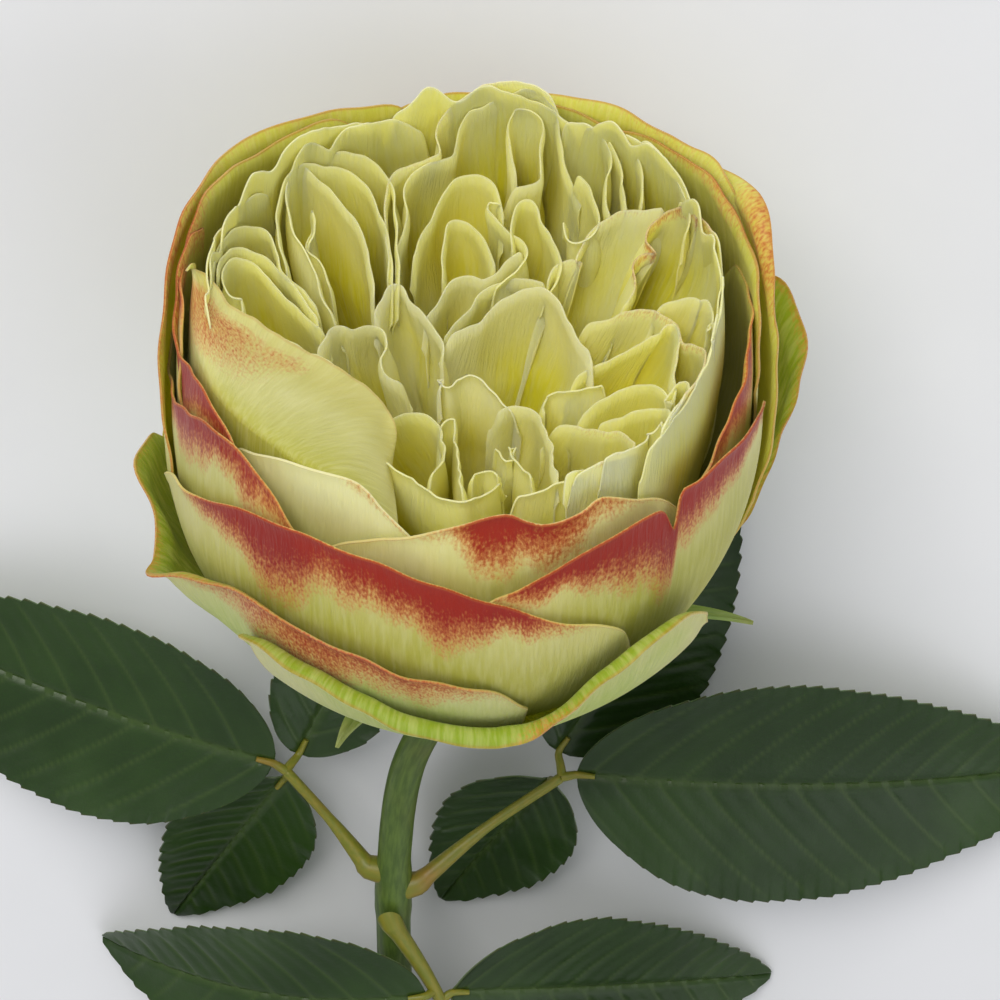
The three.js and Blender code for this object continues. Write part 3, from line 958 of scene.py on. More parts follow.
GUARDS = (
    GuardPetal(1, 0.0, (
        (-132, -8, 1), (-126, -5.5, 1.5), (-118, -7, 2), (-108, -11, 2.5), (-98, -14, 3),
        (-88, -16.5, 3), (-79, -17.5, 3), (-73, -13, 3), (-66, -8, 2.5), (-57, -4.5, 2),
        (-49, -3.5, 1.5), (-42, -8, 1), (-38, -14, 0.5),
    ), roll=((-132, 60, 3), (-120, 110, 3.5), (-100, 165, 4), (-84, 150, 4), (-74, 70, 4),
             (-60, 115, 3.5), (-48, 60, 3), (-38, 20, 3)),
        flush=((-132, 0, 1), (-84, 0.1, 2), (-76, 0.7, 4), (-68, 0.2, 2), (-38, 0, 1)),
        outermost=True),
    GuardPetal(2, 0.0, (
        (94, -24, 0.6), (99, -15, 3.1), (106, -9, 4.1), (114, -6, 4), (124, -6, 2.8),
        (134, -6, 1.6), (145, -6, 1), (158, -8, 1), (170, -12, 1), (184, -17, 0.5), (196, -22, 0),
    ), roll=((94, 15, 4), (110, 28, 4), (145, 60, 4), (196, 30, 4)),
        flush=((104, 0, 1), (140, 0.5, 3), (196, 0, 1)), outermost=True),
    GuardPetal(3, 0.0, (
        (-16, -36, 0), (-9, -33, 0), (-3, -28, 0), (2, -20, 0.6), (6, -10, 1.8), (9, -2, 3),
        (12, 3, 4.2), (17, 6.5, 4.2), (22, 9, 2.8), (28, 7, 2), (36, 1, 1.5), (46, -6, 0.5),
        (54, -14, 0),
    ), roll=((-16, 8, 4), (0, 14, 4), (8, 24, 5), (14, 32, 6), (30, 25, 5), (54, 10, 4)),
        flush=((-16, 0, 1), (2, 0.6, 2.5), (10, 0.55, 2.5), (25, 0.6, 2), (54, 0, 1)),
        outermost=True, wave=0.9),
    GuardPetal(4, 1.0, (
        (-188, -12, 0), (-180, -4, 1.2), (-172, -1, 2.8), (-167, -1, 3.2), (-162, -6, 2.2),
        (-156, -8, 4), (-151, -6, 5.4), (-146, -4, 3.6), (-138, -1, 1.6), (-129, 1.5, 1.6),
        (-119, -1, 1.6), (-106, -3, 1), (-94, -6, 0.6), (-84, -10, 0.4), (-78, -16, 0.2),
    ), roll=((-188, 12, 4), (-168, 25, 5), (-152, 40, 5), (-146, 90, 3), (-130, 50, 2.5),
             (-110, 25, 3), (-78, 8, 3)),
        flush=((-188, 0.2, 3), (-160, 0.5, 2), (-150, 0.6, 2), (-135, 0.55, 8), (-120, 0.6, 12),
               (-105, 0.65, 9), (-92, 0.5, 4), (-78, 0, 2)),
        outermost=True, wave=0.8),
    GuardPetal(5, 1.0, (
        (32, -14, 0), (44, -2, 1.5), (58, 6, 3.6), (72, 10, 4.6), (86, 12, 5), (100, 11, 4.6),
        (114, 6, 3.4), (126, -2, 1.5), (136, -14, 0),
    ), roll=((32, 15, 4), (60, 45, 4), (84, 55, 5), (110, 40, 4), (136, 15, 4)),
        flush=((32, 0.2, 2), (60, 0.7, 6), (84, 0.85, 8), (110, 0.6, 5), (136, 0.1, 2)),
        outermost=True),
    GuardPetal(6, 2.0, (
        (-170, -6), (-164, 1), (-157, 5.5), (-145, 9.6), (-137, 13), (-129, 15.4), (-121, 16.2),
        (-115, 15.6), (-106, 14.3), (-98, 12.2), (-90, 9.6), (-82, 6.6), (-73, 2.4), (-65, -0.6),
        (-59, -5), (-56, -12),
    ), roll=((-170, 6, 4), (-130, 22, 2.5), (-80, 12, 2.5), (-56, 5, 3)),
        flush=((-170, 0, 1), (-153, 0.1, 2), (-144, 0.75, 4), (-134, 0.95, 8), (-124, 1.0, 11),
               (-114, 0.85, 10), (-104, 1.0, 9), (-92, 1.0, 8), (-80, 0.85, 5.5),
               (-70, 0.3, 2.5), (-62, 0, 1), (-56, 0, 1)), tone=0.1, rim=0.35),
    GuardPetal(7, 2.0, (
        (-10, -10), (-5, -2), (-1, 6), (3, 14), (6, 20), (10, 25), (14, 27.5), (20, 28.6),
        (30, 27.5), (42, 26.5), (54, 25), (62, 20), (68, 10),
    ), roll=((-10, 5, 3), (4, 25, 3), (12, 120, 3.5), (20, 130, 4), (34, 60, 3), (68, 10, 3)),
        flush=((-10, 0, 1), (2, 0.16, 1.2), (8, 1.0, 8), (18, 1.0, 8), (26, 0.27, 2.4),
               (45, 0.32, 1.8), (68, 0, 1)), rim=1.0),
    GuardPetal(8, 2.4, (
        (98, 18), (104, 24), (114, 26), (128, 27.4), (142, 28.4), (154, 28.6), (164, 28),
        (174, 26), (181, 22), (187, 15), (192, 8), (197, 0), (200, -8), (202, -16),
    ), roll=((98, 20, 3), (140, 40, 3), (170, 25, 2.5), (202, 8, 2)),
        flush=((98, 0.09, 1.2), (120, 0.36, 1.8), (150, 0.34, 3), (168, 0.95, 7), (178, 0.8, 4),
               (190, 0.41, 1), (202, 0.23, 1)), rim=1.0),
    GuardPetal(9, 3.0, (
        (-97, -6), (-92, 1), (-85, 6.6), (-80, 8.4), (-74, 10.7), (-68, 13), (-60, 14.3),
        (-54, 14.6), (-49.5, 13.6), (-47.6, 10.6), (-46.6, 8.6), (-45.6, 11.5), (-44.4, 15),
        (-41, 14.9), (-34, 14.4), (-26, 13.4), (-16, 11.4), (-7, 8), (0, 2), (4, -8),
    ), roll=((-97, 5, 3), (-60, 14, 2), (-49, 10, 2), (-40, 30, 2.5), (-20, 20, 3), (4, 8, 3)),
        flush=((-97, 0, 1), (-85, 0.15, 2), (-78, 0.8, 3.5), (-68, 1.0, 7), (-58, 1.0, 10),
               (-48, 0.95, 12), (-38, 1.0, 8), (-26, 1.0, 5.5), (-14, 0.9, 4.5), (-4, 0.5, 3),
               (4, 0, 1)), tone=0.15, rim=0.45, wave=0.25),
    GuardPetal(10, 2.7, (
        (14, 12), (18, 22), (22, 27), (29, 30), (38, 29.4), (50, 28.7), (60, 28.4), (71, 26.8),
        (84, 26), (96, 25.5), (106, 22), (112, 12),
    ), roll=((14, 10, 3), (30, 70, 3), (45, 40, 3), (70, 60, 3), (112, 15, 3)),
        flush=((14, 0.09, 1.2), (28, 0.36, 2.1), (44, 0.43, 3), (60, 0.32, 2.4), (90, 0.34, 1.8),
               (112, 0.09, 1.2)), rim=1.0),
    GuardPetal(11, 3.0, (
        (-196, 6), (-188, 12), (-180, 10), (-174, 11.4), (-168, 12.6), (-161, 16.6),
        (-154, 19.6), (-148, 21.8), (-141, 22.4), (-133, 21), (-126, 18), (-120, 12),
        (-114, 2),
    ), roll=((-196, 8, 2), (-150, 18, 2), (-114, 8, 2)),
        flush=((-196, 0, 1), (-178, 0.2, 2), (-168, 0.75, 5), (-156, 0.9, 7), (-146, 0.85, 7),
               (-134, 0.75, 6), (-122, 0.5, 4), (-114, 0, 1)), rim=0.8, tone=0.1),
    GuardPetal(12, 4.0, (
        (-200, 24), (-193, 27), (-187, 27), (-181, 24), (-176, 21), (-170, 20.4), (-163, 22),
        (-156, 24), (-149, 24.4), (-142, 22.6), (-134, 18), (-126, 10), (-120, 0),
    ), roll=((-200, 20, 2), (-170, 25, 2), (-120, 8, 2)),
        flush=((-200, 0.9, 6), (-185, 1.0, 5), (-172, 1.0, 7), (-160, 1.0, 8), (-148, 0.9, 6),
               (-136, 0.6, 4), (-120, 0, 1)), rim=0.7),
    GuardPetal(13, 4.4, (
        (-52, -2), (-42, 4), (-36, 9.5), (-31, 12.5), (-26, 15.2), (-21, 17.6), (-14, 19.6),
        (-8, 20.4), (-1, 19.4), (4, 19), (10, 19), (18, 18), (24, 10),
    ), roll=((-52, 6, 2), (-30, 14, 2), (-8, 25, 2), (24, 12, 2)),
        flush=((-52, 0, 1), (-34, 0.35, 3), (-24, 0.85, 6), (-14, 1.0, 9), (-6, 0.9, 8),
               (2, 0.4, 3), (24, 0.1, 2)), rim=0.7),
    GuardPetal(14, 3.3, (
        (36, 14), (44, 22), (56, 25.4), (68, 26), (80, 25.8), (89, 25.2), (98, 24.2),
        (106, 23), (114, 22.4), (122, 21), (130, 14), (134, 4),
    ), roll=((36, 10, 2), (60, 25, 2), (89, 15, 2), (134, 8, 2)),
        flush=((36, 0, 1), (60, 0.18, 1.2), (89, 0.25, 1), (110, 0.18, 1), (134, 0, 1)),
        rim=1.0),
    GuardPetal(15, 5.0, (
        (-124, 0), (-120, 8), (-114, 12.2), (-108, 14.2), (-102, 15.6), (-96, 17), (-90, 18.4),
        (-85, 19.9), (-81, 20.2), (-78, 19), (-74, 17.6), (-70, 17.4), (-66, 18.3),
        (-62.5, 19.5), (-58, 18), (-53, 15.4), (-46, 12.2), (-40, 6), (-36, -4),
    ), roll=((-124, 6, 2), (-84, 24, 2.5), (-64, 20, 2.5), (-36, 6, 2)),
        flush=((-124, 0, 1), (-100, 0.15, 1.6), (-93, 0.35, 3), (-87, 0.95, 7), (-81, 0.95, 9),
               (-74, 0.75, 9), (-67, 0.65, 7), (-61, 0.5, 3.5), (-52, 0.2, 1.5), (-36, 0, 1)),
        tone=0.55, rim=0.5, wave=0.3),
    GuardPetal(16, 3.8, (
        (-6, 10), (0, 18), (6, 23), (14, 26), (22, 28.4), (30, 29.2), (38, 28.2), (48, 27.6),
        (58, 26), (68, 21), (78, 10),
    ), roll=((-6, 15, 2), (20, 55, 3), (34, 25, 2.5), (78, 12, 2)),
        flush=((-6, 0.18, 1.8), (10, 0.32, 1.6), (22, 0.8, 3), (36, 0.6, 2), (78, 0, 1)), rim=1.0),
    GuardPetal(17, 4.0, (
        (108, 12), (112, 20), (117, 25.4), (122, 27), (128, 27.2), (136, 26.8), (144, 28),
        (150, 28.6), (157, 28.2), (166, 26.6), (175, 25), (184, 24.6), (192, 21), (198, 12),
    ), roll=((108, 10, 2), (124, 30, 2.5), (150, 30, 2.5), (175, 20, 2), (198, 8, 2)),
        flush=((108, 0.14, 1), (124, 0.27, 1.1), (150, 0.23, 1.2), (164, 0.85, 7), (178, 0.9, 7),
               (190, 0.23, 2.4), (198, 0.05, 1)), rim=1.0),
    GuardPetal(18, 6.0, (
        (-154, 2), (-150, 10), (-143, 17), (-136, 19.6), (-129, 21.6), (-122, 22.3),
        (-115, 22.5), (-110, 21.3), (-106, 18.4), (-100, 14), (-94, 6), (-90, -4),
    ), roll=((-154, 5, 2), (-124, 16, 2), (-90, 5, 2)),
        flush=((-154, 0, 1), (-118, 0, 1), (-112, 0.3, 1.6), (-106, 0.25, 1.4), (-90, 0, 1)),
        tone=1.0, rim=0.15, wave=0.2),
)


@dataclass
class CuppedPetal:
    """The big petal beside the heart: up the globe, over a dome and down into the bloom."""

    number: int = 19
    layer: float = 7.0
    outer_layer: float = 5.3
    shoulder: tuple[tuple[float, float], ...] = (
        (172, 22), (-180, 22.6), (-170, 22.6), (-158, 22), (-146, 21), (-134, 20), (-122, 18.6),
        (-112, 16), (-104, 12),
    )
    margin: tuple[tuple[float, float, float], ...] = (
        (-38.6, 1.2, 26.4), (-38, 3.1, 25.1), (-36.4, 3.9, 23.4), (-34.6, 2.6, 22.2),
        (-32.9, -0.2, 21.6), (-31, -1.6, 21), (-29.3, -2, 20.2), (-27.2, -3, 19.2),
        (-24.4, -4, 17.9), (-21.7, -4.4, 16.2), (-18.9, -5.1, 14.6), (-15.9, -5.8, 12.8),
        (-13.1, -6.8, 11), (-10.8, -9.2, 9.4), (-9.6, -13, 8.6), (-10.4, -18, 8.2),
    )

    def shape(self, s: Array, t: Array) -> tuple[Array, dict[str, Array]]:
        """Places and tags of the petal's points.

        Args:
            s: Places across the petal, from -1 to 1, as rows by columns.
            t: Places along the petal, from 0 at its foot to 1 at its margin.

        Returns:
            The places in the row's frame, in millimetres, and the tags by name.
        """
        across = (s[0] + 1) / 2
        edge = smooth_curve(np.array(self.margin), across)
        shoulder = np.array(self.shoulder)
        turn = np.unwrap(np.radians(shoulder[:, 0]))
        radius = GLOBE_RADIUS - self.layer * LAYER_STEP
        line = smooth_curve(np.stack([turn * radius, shoulder[:, 1]], axis=-1), across)
        azimuth, height = line[:, 0] / radius, line[:, 1]
        layer = np.interp(np.degrees(azimuth), (206, 226), (self.outer_layer, self.layer))
        top = np.arcsin(height / GLOBE_CROWN)
        foot = foot_latitude(self.layer)
        middle = azimuth.mean()
        rise = np.minimum(t / 0.6, 1.0)
        latitude = foot + (top - foot) * rise
        narrow = FOOT_SHARE + (1 - FOOT_SHARE) * np.minimum(1, rise * 1.5)
        turned = middle + (azimuth - middle) * narrow
        wall = on_globe(turned, latitude, layer)
        start = on_globe(azimuth, top, layer)
        width = np.linalg.norm(edge - start, axis=-1)
        peak = np.maximum(start[:, 2], edge[:, 2]) + 3.4 * np.clip(width / 13, 0.15, 1)
        knee = start * np.array([0.985, 0.985, 0.0]) + np.stack(
            [np.zeros_like(peak), np.zeros_like(peak), peak], axis=-1)
        share = np.clip((t - 0.6) / 0.4, 0, 1)[..., None]
        dome = ((1 - share) ** 2 * start + 2 * share * (1 - share) * knee + share ** 2 * edge)
        places = np.where((t > 0.6)[..., None], dome, wall)
        gap = (1 - share[..., 0]) * width + np.where(t < 0.6, (0.6 - t) * 70, 0)
        lift = np.clip(1 - gap / 3.0, 0, 1) ** 2
        places[..., 2] += 0.8 * lift + 0.35 * lift * ripple(3, across, 23.0)
        dents = 0.5 * ripple(9, across, 12.0) * ease(share[..., 0], 0.1, 0.5)
        places[..., 2] += dents * ease(gap, 0.0, 4.0)
        place = 1 - ease(across, 0.26, 0.6)
        second = np.clip(1 - np.abs(across - 0.5) / 0.1, 0, 1)
        band = ease(gap, 0.3, 2.5) * (1 - ease(gap, 5.0, 13.0))
        flush = 0.4 * place * band + 0.24 * second * np.clip(1 - np.abs(gap - 2.4) / 2.4, 0, 1)
        tags = {
            "flush": flush,
            "edge": gap,
            "rim": np.full(s.shape, 0.5),
            "tone": 0.5 * ease(gap, 2.5, 8.0),
            "grain": np.stack([s * 34.0 * (0.4 + 0.6 * np.minimum(1, gap / 20)), t * 70.0,
                               np.full(s.shape, 3.1)], axis=-1),
        }
        return PLACE.lay(places.reshape(-1, 3)).reshape(places.shape), tags

    def build(self, paints: Paints) -> bpy.types.Object:
        """Makes the petal and gives it its finish.

        Args:
            paints: The finishes.

        Returns:
            The finished piece.
        """
        sheet = Sheet("guard_19", 120, 90, PETAL_THICKNESS, crowding=1.0)
        piece = sheet.build(self.shape, self.outward)
        finish_piece(piece, paints.guard, ("guard_petal_19",))
        return piece

    def outward(self, points: Array) -> Array:
        """The way out from a point deep inside the dome."""
        return points - PLACE.lay(np.array([[-14.0, -8.0, -10.0]]))[0]


def inside_guards(places: Array) -> Array:
    """Draws petals that stray toward the guard petals gently back inside them.

    Args:
        places: Points in the bloom's frame.

    Returns:
        The points, those near the guards drawn inward and, at the back, raised.
    """
    radius = np.maximum(np.hypot(places[..., 0], places[..., 1]), 1e-6)
    layer = NEST_LAYER - np.clip(2 * places[..., 1] / radius + 0.5, 0, 1)
    upper = np.sqrt(1 - np.clip(places[..., 2] / GLOBE_CROWN, 0, 0.97) ** 2) ** CROWN_SQUARENESS
    depth = GLOBE_FOOT - layer * FOOT_STEP
    lower = np.sqrt(1 - np.clip(-places[..., 2] / depth, 0, 0.97) ** 2) ** FOOT_SQUARENESS
    limit = (GLOBE_RADIUS - layer * LAYER_STEP) * upper * lower
    over = np.maximum(radius - (limit - NEST_SOFT), 0)
    kept = np.where(over > 0, limit - NEST_SOFT * np.exp(-over / NEST_SOFT), radius)
    drawn = places.copy()
    drawn[..., :2] *= (kept / radius)[..., None]
    behind = np.clip(places[..., 1] / radius, 0, 1)
    drawn[..., 2] += 0.95 * (radius - kept) * behind * np.clip(places[..., 2] / 20, 0, 1)
    return drawn


@dataclass
class InnerPetal:
    """A petal inside the bloom, hung from its margin down to the column.

    Attributes:
        name: What the piece is called: the quarter it belongs to and its place in it.
        margin: Points along its free edge, in the bloom's frame.
        fall: How straight it falls: above 2 its top is a steep wall, near 1 it slopes inward.
        spread: Its width at the column, as a share of its width at the margin.
        tone: How creamy it is, from 0 to 1.
        blush: How pink its rim is, from 0 to 1.
    """

    name: str
    margin: tuple[tuple[float, float, float], ...] = field(repr=False)
    fall: float = 2.2
    spread: float = 0.35
    tone: float = 0.3
    blush: float = 0.0

    def shape(self, s: Array, t: Array) -> tuple[Array, dict[str, Array]]:
        """Places and tags of the petal's points.

        Args:
            s: Places across the petal, from -1 to 1, as rows by columns.
            t: Places along the petal, from 0 at its foot to 1 at its margin.

        Returns:
            The places in the row's frame, in millimetres, and the tags by name.
        """
        seed = sum(ord(letter) * (i + 3) for i, letter in enumerate(self.name))
        across = (s[0] + 1) / 2
        edge = smooth_curve(np.array(self.margin), across)
        gap = np.linalg.norm(np.diff(edge, axis=0), axis=1).sum()
        edge[:, 2] -= 4.5 * ease(np.abs(s[0]), 0.84, 1.0) ** 1.6
        centre = edge[:, :2].mean(axis=0)
        near = 1 - (1 - t) ** self.fall
        hold = centre * 0.3 + (centre - centre * 0.3) * near[..., None]
        plan = hold + (edge[:, :2] - centre) * (self.spread + (1 - self.spread) * near)[..., None]
        height = -30 + (edge[:, 2] + 30) * t
        places = np.concatenate([plan, height[..., None]], axis=-1)
        down = (1 - t) * (edge[:, 2] + 30)
        tangent = np.gradient(edge[:, :2], axis=0)
        normal = unit(np.stack([tangent[:, 1], -tangent[:, 0]], axis=-1))
        normal *= np.where((normal * centre).sum() < 0, -1.0, 1.0)
        belly = 1.3 * np.sin(np.pi * np.clip(down / 16, 0, 1)) * (1 - s ** 2)
        lip = 0.7 * np.clip(1 - down / 2.2, 0, 1) ** 2
        places[..., :2] += normal * (belly + lip)[..., None]
        sway = (0.35 * ripple(seed, across, gap * 0.33) * np.clip(1 - down / 7, 0, 1) ** 1.5
                + 0.5 * ripple(seed + 1, across, gap * 0.12) * np.clip(down / 12, 0, 1))
        places[..., :2] += normal * sway[..., None]
        places[..., 2] += 0.22 * ripple(seed + 2, across, gap * 0.6) * np.clip(1 - down / 4, 0, 1)
        places = inside_guards(places)
        flush = self.blush * 0.6 * np.clip(1 - down / 3.2, 0, 1) ** 1.5
        flush *= ease(1 - np.abs(s), 0.0, 0.5)
        tags = {
            "flush": flush,
            "edge": np.minimum(down, (1 - np.abs(s)) * gap / 2 + 0.3),
            "rim": np.full(s.shape, 0.4),
            "tone": np.full(s.shape, self.tone),
            "grain": np.stack([s * gap / 2 * (0.4 + 0.6 * t), t * 50.0,
                               np.full(s.shape, seed * 0.37)], axis=-1),
        }
        return PLACE.lay(places.reshape(-1, 3)).reshape(places.shape), tags

    def build(self, paints: Paints, nodes: tuple[str, ...]) -> bpy.types.Object:
        """Makes the petal, gives it its finish and ties it to its frame nodes.

        Args:
            paints: The finishes.
            nodes: The frame's nodes that the piece stands for.

        Returns:
            The finished piece.
        """
        sheet = Sheet(self.name, 110, 40, INNER_THICKNESS, crowding=1.7)
        piece = sheet.build(self.shape, outward_of_bloom)
        finish_piece(piece, paints.inner, nodes)
        return piece


def hugging(name: str, start: float, stop: float, radius: float, height: float,
            tone: float = 0.2) -> InnerPetal:
    """A petal that lies against the inside of the guard petals.

    Args:
        name: What the piece is called.
        start: The azimuth of one end of its margin, in degrees.
        stop: The azimuth of the other end.
        radius: How far from the bloom's axis its margin stands.
        height: How high its margin stands.
        tone: How creamy it is, from 0 to 1.

    Returns:
        The petal.
    """
    turns = np.linspace(start, stop, 9)
    rise = (-4.0, -1.2, 0.8, -0.9, 0.6, 1.4, -0.8, -1.5, -4.5)
    wander = (0.0, -0.8, 0.5, -1.2, 0.2, -0.9, 0.5, -0.5, 0.0)
    margin = tuple(((radius + stray) * math.cos(math.radians(turn)),
                    (radius + stray) * math.sin(math.radians(turn)), height + lift)
                   for turn, lift, stray in zip(turns, rise, wander))
    return InnerPetal(name, margin, fall=3.0, tone=tone)


